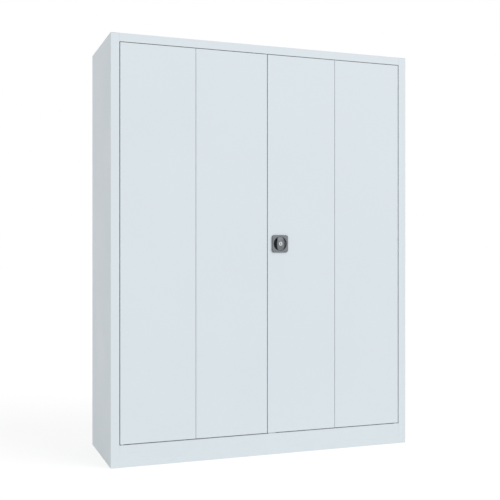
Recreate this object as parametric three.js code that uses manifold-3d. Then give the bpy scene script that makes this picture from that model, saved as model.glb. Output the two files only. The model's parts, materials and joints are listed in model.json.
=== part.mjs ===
// Steel cabinet with two folding doors that open to the sides, in millimetres.
// X runs across the front, Y from front to back and Z up.
// Heights are measured from the floor and depths from the front plane of the frame.
// What comes in a left and a right copy is drawn for the right-hand side and mirrored.

import * as THREE from 'three';
import { mergeVertices } from 'three/addons/utils/BufferGeometryUtils.js';
import Module from 'manifold-3d';

const wasm = await Module();
wasm.setup();

// Overall size
const cabinetWidth = 1500;
const cabinetDepth = 500;
const cabinetHeight = 1950;
const halfWidth = cabinetWidth / 2;

// Sheet metal and fits
const sheet = 1;
const seam = 0.25;
const overrun = 5;
const roundSides = 20;
const smallSides = 12;
const largeSides = 40;

// Frame around the doors
const stileFace = 39;
const headerFace = 38;
const plinthHeight = 100;
const stileInner = halfWidth - stileFace;
const headerUnderside = cabinetHeight - headerFace;
const skinUnderside = cabinetHeight - sheet;

// Side panel
const frontPostDepth = 75;
const rearPostDepth = 40;
const postReturn = 24;
const sideTop = skinUnderside - seam;
const sideInside = halfWidth - sheet;
const postBack = frontPostDepth + seam;
const rearPostFront = cabinetDepth - rearPostDepth;

// Levelling foot, one near each corner
const footInset = 35;
const footFromFront = 110;
const footFromBack = 70;
const footFlangeHeight = 14;
const footFlangeWidth = 60;
const footClearance = 0.5;
const footDiscRadius = 15;
const footDiscEdge = 4;
const footDiscHeight = 8;
const footStemRadius = 5;
const footStemTop = 75;
const footNutRadius = 9;
const footNutHeight = 10;
const footKeyRadius = 3;
const footKeyDepth = 8;
const footAccessRadius = 6;

// Shelf slots, two rows in each side of each bay
const slotWidth = 3;
const slotHeight = 16;
const slotPitch = 50;
const lowestSlot = 220;
const slotHeadroom = 210;
const frontRow = 60.5;
const rearRowFromBack = 20;
const rearRow = cabinetDepth - rearRowFromBack;
const slotCount = Math.floor((cabinetHeight - slotHeadroom - lowestSlot) / slotPitch) + 1;

// Top panel
const headerFlange = 40;
const headerUpturn = 13;
const topSideFlange = 30;
const topRearFlange = 30;

// Plinth and cabinet floor
const plinthFootFlange = 30;
const sillDepth = 40;
const sillFlange = 20;
const floorHeight = 120;
const floorFlange = 30;

// Back panel and partition
const backReturn = 15;
const backFlangeBack = cabinetDepth - sheet - seam;
const partitionWidth = 25;
const partitionFront = 50;
const partitionBack = backFlangeBack - sheet - seam;

// Shelves
const shelfDrop = 30;
const shelfHem = 12;
const shelfSideGap = 0.75;
const shelfHeightShares = [0.17, 0.4, 0.63, 0.87];
const tabHeight = 12;
const tabReach = 2;
const tabHook = 3;
const hookGap = 0.5;
const tabBelowSurface = 22.75;

// Doors
const doorGap = 4;
const headerGap = 3;
const centreGap = 4;
const foldGap = 2;
const doorRecess = 1;
const doorThickness = 20;
const doorHem = 15;
const hingeEdge = stileInner - doorGap;
const leadingEdge = centreGap / 2;
const doorPanelWidth = (hingeEdge - leadingEdge - foldGap) / 2;
const foldLine = leadingEdge + doorPanelWidth + foldGap / 2;
const doorBottom = plinthHeight + doorGap;
const doorTop = headerUnderside - headerGap;
const doorBack = doorRecess + doorThickness;
const skinBack = doorRecess + sheet;
const hemFront = doorBack - sheet;

// Stiffener inside each door panel
const stiffenerOffset = 47;
const stiffenerWidth = 30;
const stiffenerFlange = 12;

// Fold hinge, behind the fold line over the whole height
const leafThickness = 1.5;
const leafReach = 18;
const leafEndInset = 10;
const knuckleRadius = 3.5;
const knuckleGap = 0.5;
const knuckleCount = 14;
const knuckleSides = 8;
const hingePinRadius = 1.75;
const hingeBoreRadius = 2;
const hingePinOverhang = 1.5;
const hingeAxisDepth = doorBack + seam + knuckleRadius;
const leafEdge = knuckleRadius + seam;

// Pivots at the hinge edge of each outer panel
const pivotInset = 10;
const pivotDepth = 8;
const pivotLine = hingeEdge - pivotInset;
const pivotAxisDepth = doorRecess + pivotDepth;
const pivotPinRadius = 2.5;
const pivotBlockWidth = 20;
const pivotBlockHeight = 30;
const bushBoreRadius = 2.7;
const bushSleeveRadius = 4;
const bushFlangeRadius = 5;
const bushSleeveDrop = 11;
const topBushFlangeRadius = 6;
const topBushHeight = 5;
const pinTipGap = 1;

// Guide at the leading edge of each inner panel, as far from the fold as the pivot is
const guideLine = 2 * foldLine - pivotLine;
const guideAxleRadius = 3;
const guideShoulderRadius = 3.75;
const guideHeadRadius = 4.5;
const guideHeadHeight = 2;
const guideBracketWidth = 24;
const guideBracketHeight = 25;
const rollerRadius = 6;
const rollerBoreRadius = 3.2;
const rollerHeight = 9;
const rollerClearance = 0.25;
const rollerLift = 1.5;
const railHeight = 17;
const railOverlap = 7;
const openingAngle = THREE.MathUtils.degToRad(88);
const guideShutMargin = 1.25;
const guideOpenMargin = 2.5;
const openHalfSpan = (pivotLine - foldLine) * Math.cos(openingAngle);
const openSetback = (hingeAxisDepth - pivotAxisDepth) * Math.sin(openingAngle);
const guideOpenLine = pivotLine - 2 * (openHalfSpan + openSetback);
const guideSlotStart = guideLine - guideShoulderRadius - guideShutMargin;
const guideSlotEnd = guideOpenLine + guideShoulderRadius + guideOpenMargin;
const guideSlotHalfWidth = guideShoulderRadius + seam;
const railEnd = guideSlotEnd + railOverlap;

// Closing parts behind and below the centre gap
const stripReach = 10;
const stripWidth = 30;
const stripJogStart = 6.25;
const stripJogEnd = 4;
const stripJog = 2.25;
const rampStart = 5;
const rampEnd = 42;
const rampDepth = 13.5;
const rampFlat = 7.5;
const rampNose = 0.75;
const rampRun = 0.5;

// Lock, on the right-hand inner panel
const lockFromCentre = 63.5;
const lockHeight = 1006.5;
const plateSize = 83;
const plateCorner = 11;
const plateThickness = 5;
const plateOpeningRadius = 33.5;
const skinOpeningRadius = 34.5;
const plateBack = doorRecess - seam;
const plateFront = plateBack - plateThickness;

// Turn handle
const cupRadius = 32.75;
const cupWall = 1.5;
const cupRimDepth = 2.5;
const cupFloorFront = 10;
const cupFloor = 3;
const barProud = 10;
const barMiddleHalf = 17.5;
const barEndHalf = 12.5;
const barFlatHalf = 20;
const hubRadius = 9;
const hubBack = 16.5;

// Key cylinder
const cylinderProud = 11;
const cylinderRadius = 9.5;
const cylinderFit = 0.25;
const plugRadius = 6;
const plugFit = 0.1;
const plugRecess = 0.25;
const keywayHalfWidth = 1.25;
const keywayAbove = 3.5;
const keywayBelow = 4.5;
const keywayDepth = 9;

// Spindle and its pinion
const spindleSize = 8;
const spindleFit = 0.25;
const spindleNeckRadius = 4;
const spindleEnd = 35;
const pinionTeeth = 12;
const gearModule = 2;
const pressureAngle = THREE.MathUtils.degToRad(20);
const pinionRootRadius = 10.3;
const flankSteps = 3;
const pinionFront = 17;
const pinionWidth = 3.5;
const pitchRadius = (pinionTeeth * gearModule) / 2;
const toothPitch = Math.PI * gearModule;

// Rods with racks
const rackAddendum = 1.25;
const rackDedendum = 2.4;
const backlash = 0.3;
const rodFront = 17.25;
const rodThickness = 3;
const rodOuter = 22;
const rodTipInset = 0.5;
const rodClearance = 0.5;
const rackTeethPassed = 5;
const rackTeethAhead = 2;
const rackTail = 1.5;
const rodInner = pitchRadius + rackDedendum;
const rodGuideOffset = 450;
const rodGuideHeight = 20;
const rodGuideWall = 5;

// Lock case, tongue and nut
const caseHalfWidth = 36;
const caseHalfHeight = 50;
const caseBack = 24;
const caseWall = 1.5;
const caseFlange = 8;
const caseHoleRadius = 6.25;
const tongueFront = 25.75;
const tongueThickness = 3;
const tongueLength = 66;
const tongueHalfWidth = 8;
const tongueHubRadius = 13;
const nutFront = 29;
const nutThickness = 4.5;
const nutRadius = 7.5;
const nutFit = 0.25;

// The key cylinder is the frontmost point, so it sets where the middle of the depth lies
const frontPlane = (cylinderProud - cabinetDepth) / 2;

// Colours and surfaces
const paint = { color: new THREE.Color('#dae3e8'), roughness: 0.5, metalness: 0 };
const zinc = { color: new THREE.Color('#b4b8ba'), roughness: 0.35, metalness: 0.9 };
const steel = { color: new THREE.Color('#8d9194'), roughness: 0.3, metalness: 0.95 };
const chrome = { color: new THREE.Color('#d5d8da'), roughness: 0.12, metalness: 1 };
const nylon = { color: new THREE.Color('#eceeee'), roughness: 0.55, metalness: 0 };
const darkPlastic = { color: new THREE.Color('#74797d'), roughness: 0.45, metalness: 0 };

// Closed solids from three.js geometries
function solidOf(geometry) {
  const bare = geometry.clone();
  bare.deleteAttribute('normal');
  bare.deleteAttribute('uv');
  const merged = mergeVertices(bare, 1e-5);
  const vertProperties = new Float32Array(merged.attributes.position.array);
  const triVerts = new Uint32Array(merged.index.array);
  return new wasm.Manifold(new wasm.Mesh({ numProp: 3, vertProperties, triVerts }));
}

function geometryOf(solid) {
  const { vertProperties, triVerts } = solid.getMesh();
  const geometry = new THREE.BufferGeometry();
  geometry.setAttribute('position', new THREE.BufferAttribute(vertProperties, 3));
  geometry.setIndex(new THREE.BufferAttribute(triVerts, 1));
  geometry.computeVertexNormals();
  return geometry;
}

function joined(solids) {
  return solids.reduce((whole, next) => whole.add(next));
}

function block([x0, x1], [y0, y1], [z0, z1]) {
  const box = new THREE.BoxGeometry(x1 - x0, y1 - y0, z1 - z0);
  box.translate((x0 + x1) / 2, (y0 + y1) / 2, (z0 + z1) / 2);
  return solidOf(box);
}

function prism(shape, low, high, axes) {
  const geometry = new THREE.ExtrudeGeometry(shape, {
    depth: high - low,
    bevelEnabled: false,
    curveSegments: roundSides / 4,
  });
  geometry.translate(0, 0, low);
  geometry.applyMatrix4(new THREE.Matrix4().makeBasis(...axes));
  return solidOf(geometry);
}

function outlineShape(points) {
  return new THREE.Shape(points.map(([a, b]) => new THREE.Vector2(a, b)));
}

const alongX = [new THREE.Vector3(0, 1, 0), new THREE.Vector3(0, 0, 1), new THREE.Vector3(1, 0, 0)];
const alongY = [new THREE.Vector3(0, 0, 1), new THREE.Vector3(1, 0, 0), new THREE.Vector3(0, 1, 0)];
const alongZ = [new THREE.Vector3(1, 0, 0), new THREE.Vector3(0, 1, 0), new THREE.Vector3(0, 0, 1)];

// Points are depth and height
function prismAlongX(points, low, high) {
  return prism(outlineShape(points), low, high, alongX);
}

// Points are place across the front and height
function prismAlongY(points, low, high) {
  return prism(outlineShape(points.map(([x, z]) => [z, x])), low, high, alongY);
}

// Points are place across the front and depth
function prismAlongZ(points, low, high) {
  return prism(outlineShape(points), low, high, alongZ);
}

// Outline of a sheet that is folded along a path and lies on the left of it
function folded(path, thickness) {
  const points = path.map(([a, b]) => new THREE.Vector2(a, b));
  const normals = points.slice(1).map((point, i) => {
    const run = point.clone().sub(points[i]).normalize();
    return new THREE.Vector2(-run.y, run.x);
  });
  const inner = points.map((point, i) => {
    const before = normals[Math.max(i - 1, 0)];
    const after = normals[Math.min(i, normals.length - 1)];
    const mitre = before.clone().add(after);
    return point.clone().addScaledVector(mitre, (2 * thickness) / mitre.lengthSq());
  });
  return [...points, ...inner.reverse()].map((point) => [point.x, point.y]);
}

// A round bar standing at a place, between two heights
function bar(radius, [x, y], [z0, z1], sides = roundSides) {
  const geometry = new THREE.CylinderGeometry(radius, radius, z1 - z0, sides);
  geometry.rotateX(Math.PI / 2);
  geometry.translate(x, y, (z0 + z1) / 2);
  return solidOf(geometry);
}

// A round bar on the lock's axis, between two depths
function spindleBar(radius, [y0, y1], sides = roundSides) {
  const geometry = new THREE.CylinderGeometry(radius, radius, y1 - y0, sides);
  geometry.translate(0, (y0 + y1) / 2, 0);
  return solidOf(geometry);
}

// A turned piece standing at a place, from points of radius and height
function turned(points, [x, y], sides = roundSides) {
  const profile = points.map(([radius, z]) => new THREE.Vector2(radius, z));
  const geometry = new THREE.LatheGeometry(profile, sides);
  geometry.rotateX(Math.PI / 2);
  geometry.translate(x, y, 0);
  return solidOf(geometry);
}

// A tray of sheet with its open side at the low end of one axis
function tray([x0, x1], [y0, y1], [z0, z1], hem, openSide) {
  const outer = block([x0, x1], [y0, y1], [z0, z1]);
  const inside = block([x0 + sheet, x1 - sheet], [y0 + sheet, y1 - sheet], [z0 + sheet, z1 - sheet]);
  const mouth = {
    back: [[x0 + hem, x1 - hem], [y1 - sheet - overrun, y1 + overrun], [z0 + hem, z1 - hem]],
    bottom: [[x0 + hem, x1 - hem], [y0 + hem, y1 - hem], [z0 - overrun, z0 + sheet + overrun]],
  }[openSide];
  return outer.subtract(inside).subtract(block(...mouth));
}

// A span on one side of the middle, lowest value first
function sideSpan(sign, near, far) {
  return sign > 0 ? [near, far] : [-far, -near];
}

function addPiece(parent, name, solid, surface) {
  const mesh = new THREE.Mesh(geometryOf(solid), new THREE.MeshStandardMaterial(surface));
  mesh.name = name;
  parent.add(mesh);
  return mesh;
}

const shelfSlotHeights = Array.from({ length: slotCount }, (_, i) => lowestSlot + i * slotPitch);
const footPlaces = {
  front: [halfWidth - footInset, footFromFront],
  rear: [halfWidth - footInset, cabinetDepth - footFromBack],
};

function shelfSlots(x0, x1) {
  const cuts = [];
  for (const row of [frontRow, rearRow]) {
    for (const z of shelfSlotHeights) {
      const depth = [row - slotWidth / 2, row + slotWidth / 2];
      cuts.push(block([x0, x1], depth, [z - slotHeight / 2, z + slotHeight / 2]));
    }
  }
  return joined(cuts);
}

// Carcass

function sidePanel() {
  const path = [
    [stileInner + postReturn, frontPostDepth],
    [stileInner, frontPostDepth],
    [stileInner, 0],
    [halfWidth, 0],
    [halfWidth, cabinetDepth],
    [stileInner, cabinetDepth],
    [stileInner, rearPostFront],
    [stileInner + postReturn, rearPostFront],
  ];
  const panel = prismAlongZ(folded(path, sheet), 0, sideTop);
  return panel.subtract(shelfSlots(stileInner - overrun, stileInner + sheet + overrun));
}

function levellingFoot(place) {
  const discTop = footClearance + footDiscHeight;
  const profile = [
    [0, footClearance],
    [footDiscRadius, footClearance],
    [footDiscRadius, footClearance + footDiscEdge],
    [footStemRadius, discTop],
    [footStemRadius, footStemTop],
    [0, footStemTop],
  ];
  const socket = bar(footKeyRadius, place, [footStemTop - footKeyDepth, footStemTop + overrun], 6);
  return turned(profile, place, smallSides).subtract(socket);
}

function topPanel() {
  const path = [
    [headerFlange, cabinetHeight],
    [0, cabinetHeight],
    [0, headerUnderside],
    [headerFlange, headerUnderside],
    [headerFlange, headerUnderside + headerUpturn],
  ];
  const headerEnd = stileInner - seam;
  const header = prismAlongX(folded(path, sheet), -headerEnd, headerEnd);
  const skin = block([-halfWidth, halfWidth], [0, cabinetDepth], [skinUnderside, cabinetHeight]);
  const sideFlangeOuter = sideInside - seam;
  const sideFlanges = [-1, 1].map((sign) => {
    const across = sideSpan(sign, sideFlangeOuter - sheet, sideFlangeOuter);
    const heights = [cabinetHeight - topSideFlange, skinUnderside + sheet / 2];
    return block(across, [postBack, rearPostFront - seam], heights);
  });
  const rearEnd = headerEnd - sheet - seam;
  const rearFlange = block(
    [-rearEnd, rearEnd],
    [backFlangeBack - sheet, backFlangeBack],
    [cabinetHeight - topRearFlange, skinUnderside + sheet / 2],
  );
  const flangeHeights = [headerUnderside - overrun, headerUnderside + sheet + overrun];
  const slotDepths = [pivotAxisDepth - guideSlotHalfWidth, pivotAxisDepth + guideSlotHalfWidth];
  const cuts = [-1, 1].flatMap((sign) => {
    const slot = block(sideSpan(sign, guideSlotStart, guideSlotEnd), slotDepths, flangeHeights);
    const pivot = [sign * pivotLine, pivotAxisDepth];
    return [slot, bar(bushSleeveRadius + seam, pivot, flangeHeights, smallSides)];
  });
  const rodHole = rodOpening(1, flangeHeights);
  return joined([header, skin, ...sideFlanges, rearFlange]).subtract(joined([...cuts, rodHole]));
}

// Opening for a rod; the upper rod runs right of the lock's axis and the lower one left of it
function rodOpening(sign, heights, back = rodFront + rodThickness + rodClearance) {
  const [low, high] = sideSpan(sign, rodInner - rodClearance, rodOuter + rodClearance);
  return block([lockFromCentre + low, lockFromCentre + high], [rodFront - rodClearance, back], heights);
}

// Plinth below the doors, with the sill that holds their lower bushes
function plinth() {
  const sillBack = sillDepth - seam;
  const path = [
    [sillBack, plinthHeight - sillFlange],
    [sillBack, plinthHeight],
    [0, plinthHeight],
    [0, 0],
    [plinthFootFlange, 0],
  ];
  const plinthEnd = stileInner - seam;
  const sillHeights = [plinthHeight - sheet - overrun, plinthHeight + overrun];
  let panel = prismAlongX(folded(path, sheet), -plinthEnd, plinthEnd);
  for (const sign of [-1, 1]) {
    const pivot = [sign * pivotLine, pivotAxisDepth];
    panel = panel.subtract(bar(bushSleeveRadius + seam, pivot, sillHeights, smallSides));
  }
  return panel.subtract(rodOpening(-1, sillHeights));
}

// Cabinet floor; its side flanges reach down and turn in to carry the levelling feet
function bottomPanel() {
  const path = [
    [backFlangeBack, floorHeight - floorFlange],
    [backFlangeBack, floorHeight],
    [sillDepth, floorHeight],
    [sillDepth, plinthHeight - sillFlange],
  ];
  const middleEnd = stileInner - seam;
  const middle = prismAlongX(folded(path, sheet), -middleEnd, middleEnd);
  const floorEnd = sideInside - seam;
  const betweenPosts = [postBack, rearPostFront - seam];
  const wideFloor = block([-floorEnd, floorEnd], betweenPosts, [floorHeight - sheet, floorHeight]);
  let panel = middle.add(wideFloor);
  const footFlangeTop = footFlangeHeight + sheet;
  const cornerDepths = [cabinetDepth - backReturn - seam, cabinetDepth];
  const cornerHeights = [floorHeight - floorFlange - overrun, floorHeight + overrun];
  const nutHeights = [footFlangeTop - sheet / 2, footFlangeTop + footNutHeight];
  const boreHeights = [footFlangeHeight - overrun, footFlangeTop + footNutHeight + overrun];
  const accessHeights = [floorHeight - sheet - overrun, floorHeight + overrun];
  for (const sign of [-1, 1]) {
    const flange = sideSpan(sign, floorEnd - sheet, floorEnd);
    panel = panel.add(block(flange, betweenPosts, [footFlangeHeight, floorHeight - sheet / 2]));
    const footFlange = sideSpan(sign, halfWidth - footFlangeWidth, floorEnd - sheet / 2);
    panel = panel.add(block(footFlange, betweenPosts, [footFlangeHeight, footFlangeTop]));
    const corner = sideSpan(sign, middleEnd - sheet - seam, middleEnd + overrun);
    panel = panel.subtract(block(corner, cornerDepths, cornerHeights));
    for (const [x, y] of Object.values(footPlaces)) {
      const place = [sign * x, y];
      panel = panel.add(bar(footNutRadius, place, nutHeights, 6));
      panel = panel.subtract(bar(footStemRadius + seam, place, boreHeights, smallSides));
      panel = panel.subtract(bar(footAccessRadius, place, accessHeights, smallSides));
    }
  }
  return panel;
}

function backPanel() {
  const end = stileInner - seam;
  const path = [
    [end, cabinetDepth - backReturn],
    [end, cabinetDepth],
    [-end, cabinetDepth],
    [-end, cabinetDepth - backReturn],
  ];
  return prismAlongZ(folded(path, sheet), 0, sideTop);
}

function centrePartition() {
  const half = partitionWidth / 2;
  const heights = [floorHeight + seam, sideTop];
  const outer = block([-half, half], [partitionFront, partitionBack], heights);
  const inside = block(
    [sheet - half, half - sheet],
    [partitionFront + sheet, partitionBack - sheet],
    [heights[0] - overrun, heights[1] + overrun],
  );
  return outer.subtract(inside).subtract(shelfSlots(-half - overrun, half + overrun));
}

// One shelf of the right-hand bay, with two hooked tabs at each end that rest in the slots
function shelf(heightShare) {
  const slotCentre = shelfSlotHeights[Math.round(heightShare * (slotCount - 1))];
  const tabBottom = slotCentre - slotHeight / 2 + seam;
  const surface = tabBottom + tabBelowSurface;
  const partitionFace = partitionWidth / 2;
  const ends = [partitionFace + shelfSideGap, stileInner - shelfSideGap];
  const depths = [frontRow - sheet / 2, rearRow + sheet / 2];
  const parts = [tray(ends, depths, [surface - shelfDrop, surface], shelfHem, 'bottom')];
  for (const row of [frontRow, rearRow]) {
    const thickness = [row - sheet / 2, row + sheet / 2];
    const heights = [tabBottom, tabBottom + tabHeight];
    const hookHeights = [tabBottom - tabHook, tabBottom + tabHeight];
    const rightHook = stileInner + sheet + hookGap;
    const leftHook = partitionFace - sheet - hookGap;
    parts.push(block([ends[1] - sheet / 2, rightHook + tabReach], thickness, heights));
    parts.push(block([rightHook, rightHook + tabReach], thickness, hookHeights));
    parts.push(block([leftHook - tabReach, ends[0] + sheet / 2], thickness, heights));
    parts.push(block([leftHook - tabReach, leftHook], thickness, hookHeights));
  }
  return joined(parts);
}

function guideRail() {
  const halfInside = rollerRadius + rollerClearance;
  const bottom = headerUnderside + sheet + seam;
  const path = [
    [pivotAxisDepth - halfInside, bottom],
    [pivotAxisDepth - halfInside, bottom + railHeight - sheet],
    [pivotAxisDepth + halfInside, bottom + railHeight - sheet],
    [pivotAxisDepth + halfInside, bottom],
  ];
  return prismAlongX(folded(path, sheet), -railEnd, railEnd);
}

function bottomBush() {
  const flangeTop = doorBottom - seam;
  const flangeBottom = plinthHeight + seam;
  const profile = [
    [bushBoreRadius, flangeBottom - bushSleeveDrop],
    [bushSleeveRadius, flangeBottom - bushSleeveDrop],
    [bushSleeveRadius, flangeBottom],
    [bushFlangeRadius, flangeBottom],
    [bushFlangeRadius, flangeTop],
    [bushBoreRadius, flangeTop],
    [bushBoreRadius, flangeBottom - bushSleeveDrop],
  ];
  return turned(profile, [pivotLine, pivotAxisDepth], smallSides);
}

function topBush() {
  const flangeBottom = headerUnderside + sheet + seam;
  const flangeTop = flangeBottom + topBushHeight;
  const profile = [
    [bushBoreRadius, headerUnderside],
    [bushSleeveRadius, headerUnderside],
    [bushSleeveRadius, flangeBottom],
    [topBushFlangeRadius, flangeBottom],
    [topBushFlangeRadius, flangeTop],
    [bushBoreRadius, flangeTop],
    [bushBoreRadius, headerUnderside],
  ];
  return turned(profile, [pivotLine, pivotAxisDepth], smallSides);
}

// Nylon ramp on the sill that lifts the leading edge as the door closes
function closingRamp() {
  const front = doorRecess + rampRun;
  const bottom = plinthHeight + seam;
  const top = doorBottom - rampRun;
  const outline = [
    [front, bottom],
    [front + rampDepth, bottom],
    [front + rampDepth, bottom + rampNose],
    [front + rampFlat, top],
    [front, top],
  ];
  return prismAlongX(outline, rampStart, rampEnd);
}

// Doors

function outerPanel() {
  const across = [foldLine + foldGap / 2, hingeEdge];
  const panel = tray(across, [doorRecess, doorBack], [doorBottom, doorTop], doorHem, 'back');
  const pinHole = pivotPinRadius + seam;
  const place = [pivotLine, pivotAxisDepth];
  const lowHole = bar(pinHole, place, [doorBottom - overrun, doorBottom + sheet + overrun], smallSides);
  const highHole = bar(pinHole, place, [doorTop - sheet - overrun, doorTop + overrun], smallSides);
  return panel.subtract(lowHole).subtract(highHole);
}

function innerPanel() {
  const across = [leadingEdge, foldLine - foldGap / 2];
  const panel = tray(across, [doorRecess, doorBack], [doorBottom, doorTop], doorHem, 'back');
  const heights = [doorTop - sheet - overrun, doorTop + overrun];
  const axleHole = bar(guideShoulderRadius + seam, [guideLine, pivotAxisDepth], heights, smallSides);
  return panel.subtract(axleHole);
}

// The right-hand inner panel is cut for the lock and for both rods
function innerPanelWithLock() {
  const opening = spindleBar(skinOpeningRadius, [doorRecess - overrun, skinBack + overrun])
    .translate([lockFromCentre, 0, lockHeight]);
  const behind = doorBack + overrun;
  return innerPanel()
    .subtract(opening)
    .subtract(rodOpening(1, [doorTop - doorHem - overrun, doorTop + overrun], behind))
    .subtract(rodOpening(-1, [doorBottom - overrun, doorBottom + doorHem + overrun], behind));
}

function stiffener(middle) {
  const front = skinBack + seam;
  const top = hemFront - seam - sheet;
  const halfHat = stiffenerWidth / 2 - sheet;
  const reach = halfHat + sheet + stiffenerFlange;
  const path = [
    [middle - reach, front],
    [middle - halfHat, front],
    [middle - halfHat, top],
    [middle + halfHat, top],
    [middle + halfHat, front],
    [middle + reach, front],
  ];
  return prismAlongZ(folded(path, sheet), doorBottom + sheet + seam, doorTop - sheet - seam);
}

// Both leaves of the fold hinge share one row of knuckles, which they take in turn
const hingeBottom = doorBottom + leafEndInset;
const hingeTop = doorTop - leafEndInset;
const knucklePitch = (hingeTop - hingeBottom) / knuckleCount;

function hingeLeaf(sign, firstKnuckle) {
  const depths = [hingeAxisDepth - knuckleRadius, hingeAxisDepth - knuckleRadius + leafThickness];
  const across = (near, far) => sideSpan(sign, near, far).map((x) => foldLine + x);
  const parts = [block(across(leafEdge, leafReach), depths, [hingeBottom, hingeTop])];
  for (let i = firstKnuckle; i < knuckleCount; i += 2) {
    const low = hingeBottom + i * knucklePitch + knuckleGap / 2;
    const heights = [low, low + knucklePitch - knuckleGap];
    parts.push(bar(knuckleRadius, [foldLine, hingeAxisDepth], heights, knuckleSides));
    parts.push(block(across(0, leafEdge + leafThickness), depths, heights));
  }
  const boreHeights = [hingeBottom - overrun, hingeTop + overrun];
  const bore = bar(hingeBoreRadius, [foldLine, hingeAxisDepth], boreHeights, knuckleSides);
  return joined(parts).subtract(bore);
}

function hingePin() {
  const heights = [hingeBottom - hingePinOverhang, hingeTop + hingePinOverhang];
  return bar(hingePinRadius, [foldLine, hingeAxisDepth], heights, knuckleSides);
}

// Steel block in the corner of the outer panel with the pin that turns in the bush
function pivotPin(isTop) {
  const inside = hingeEdge - sheet - seam;
  const depths = [skinBack + seam, hemFront - seam];
  const place = [pivotLine, pivotAxisDepth];
  if (isTop) {
    const top = doorTop - sheet - seam;
    const tip = headerUnderside + sheet + seam + topBushHeight - pinTipGap;
    const body = block([inside - pivotBlockWidth, inside], depths, [top - pivotBlockHeight, top]);
    return body.add(bar(pivotPinRadius, place, [top - seam, tip], smallSides));
  }
  const bottom = doorBottom + sheet + seam;
  const tip = plinthHeight + seam - bushSleeveDrop + pinTipGap;
  const body = block([inside - pivotBlockWidth, inside], depths, [bottom, bottom + pivotBlockHeight]);
  return body.add(bar(pivotPinRadius, place, [tip, bottom + seam], smallSides));
}

const rollerBottom = headerUnderside + sheet + rollerLift + seam;

// Block in the top corner of the inner panel with the axle of the guide roller
function guideBracket() {
  const inside = leadingEdge + sheet + seam;
  const top = doorTop - sheet - seam;
  const depths = [skinBack + seam, hemFront - seam];
  const body = block([inside, inside + guideBracketWidth], depths, [top - guideBracketHeight, top]);
  const headBottom = rollerBottom + rollerHeight + seam;
  const profile = [
    [0, top - seam],
    [guideShoulderRadius, top - seam],
    [guideShoulderRadius, rollerBottom - seam],
    [guideAxleRadius, rollerBottom - seam],
    [guideAxleRadius, headBottom],
    [guideHeadRadius, headBottom],
    [guideHeadRadius, headBottom + guideHeadHeight],
    [0, headBottom + guideHeadHeight],
  ];
  return body.add(turned(profile, [guideLine, pivotAxisDepth], smallSides));
}

function guideRoller() {
  const profile = [
    [rollerBoreRadius, rollerBottom],
    [rollerRadius, rollerBottom],
    [rollerRadius, rollerBottom + rollerHeight],
    [rollerBoreRadius, rollerBottom + rollerHeight],
    [rollerBoreRadius, rollerBottom],
  ];
  return turned(profile, [guideLine, pivotAxisDepth]);
}

// Strip on the back of the left door, behind the centre gap and the edge of the right door
function closingStrip() {
  const back = doorBack + seam + leafThickness;
  const path = [
    [stripWidth, back],
    [stripJogStart, back],
    [stripJogEnd, back + stripJog],
    [-stripReach, back + stripJog],
  ];
  return prismAlongZ(folded(path, leafThickness), hingeBottom, hingeTop);
}

// Lock, drawn around the axis of its spindle

function roundedSquare(size, corner) {
  const half = size / 2;
  const straight = half - corner;
  const shape = new THREE.Shape();
  shape.moveTo(straight, -half);
  shape.absarc(straight, -straight, corner, -Math.PI / 2, 0);
  shape.absarc(straight, straight, corner, 0, Math.PI / 2);
  shape.absarc(-straight, straight, corner, Math.PI / 2, Math.PI);
  shape.absarc(-straight, -straight, corner, Math.PI, 1.5 * Math.PI);
  return shape;
}

function lockPlate() {
  const plate = prism(roundedSquare(plateSize, plateCorner), plateFront, plateBack, alongY);
  const openingDepths = [plateFront - overrun, plateBack + overrun];
  return plate.subtract(spindleBar(plateOpeningRadius, openingDepths, largeSides));
}

// Round cup with a grip bar across it. The bar's sides bulge towards the middle, and its front
// slopes back to the plate at both ends.
function turnHandle() {
  const middleOfFloor = cupFloorFront + cupFloor / 2;
  const cupDepths = [plateFront + cupRimDepth, cupFloorFront + cupFloor];
  const cup = spindleBar(cupRadius, cupDepths, largeSides);
  const hollow = spindleBar(cupRadius - cupWall, [plateFront - overrun, cupFloorFront], largeSides);
  const disc = spindleBar(cupRadius, [-barProud, middleOfFloor], largeSides);
  const bulge = barMiddleHalf - barEndHalf;
  const sideRadius = (cupRadius ** 2 + bulge ** 2) / (2 * bulge);
  const sweep = Math.asin(cupRadius / sideRadius);
  const grip = new THREE.Shape();
  const arcCentre = barMiddleHalf - sideRadius;
  grip.absarc(0, arcCentre, sideRadius, Math.PI / 2 - sweep, Math.PI / 2 + sweep);
  grip.absarc(0, -arcCentre, sideRadius, 1.5 * Math.PI - sweep, 1.5 * Math.PI + sweep);
  const crown = [
    [middleOfFloor, -cupRadius],
    [plateFront, -cupRadius],
    [-barProud, -barFlatHalf],
    [-barProud, barFlatHalf],
    [plateFront, cupRadius],
    [middleOfFloor, cupRadius],
  ];
  const gripBar = prism(grip, -barProud - overrun, middleOfFloor, alongY)
    .intersect(disc)
    .intersect(prismAlongX(crown, -cupRadius, cupRadius));
  const hub = spindleBar(hubRadius, [middleOfFloor, hubBack]);
  const socketHalf = spindleSize / 2 + spindleFit;
  const socketDepths = [cupFloorFront + spindleFit, hubBack + overrun];
  const socket = block([-socketHalf, socketHalf], socketDepths, [-socketHalf, socketHalf]);
  const holeDepths = [-barProud - overrun, cupFloorFront - cylinderFit];
  const cylinderHole = spindleBar(cylinderRadius + cylinderFit, holeDepths);
  return joined([cup.subtract(hollow), gripBar, hub]).subtract(cylinderHole).subtract(socket);
}

function cylinderBarrel() {
  const barrelBack = cupFloorFront - 2 * cylinderFit;
  const barrel = spindleBar(cylinderRadius, [-cylinderProud, barrelBack]);
  const boreDepths = [-cylinderProud - overrun, barrelBack + overrun];
  return barrel.subtract(spindleBar(plugRadius + plugFit, boreDepths));
}

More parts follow.
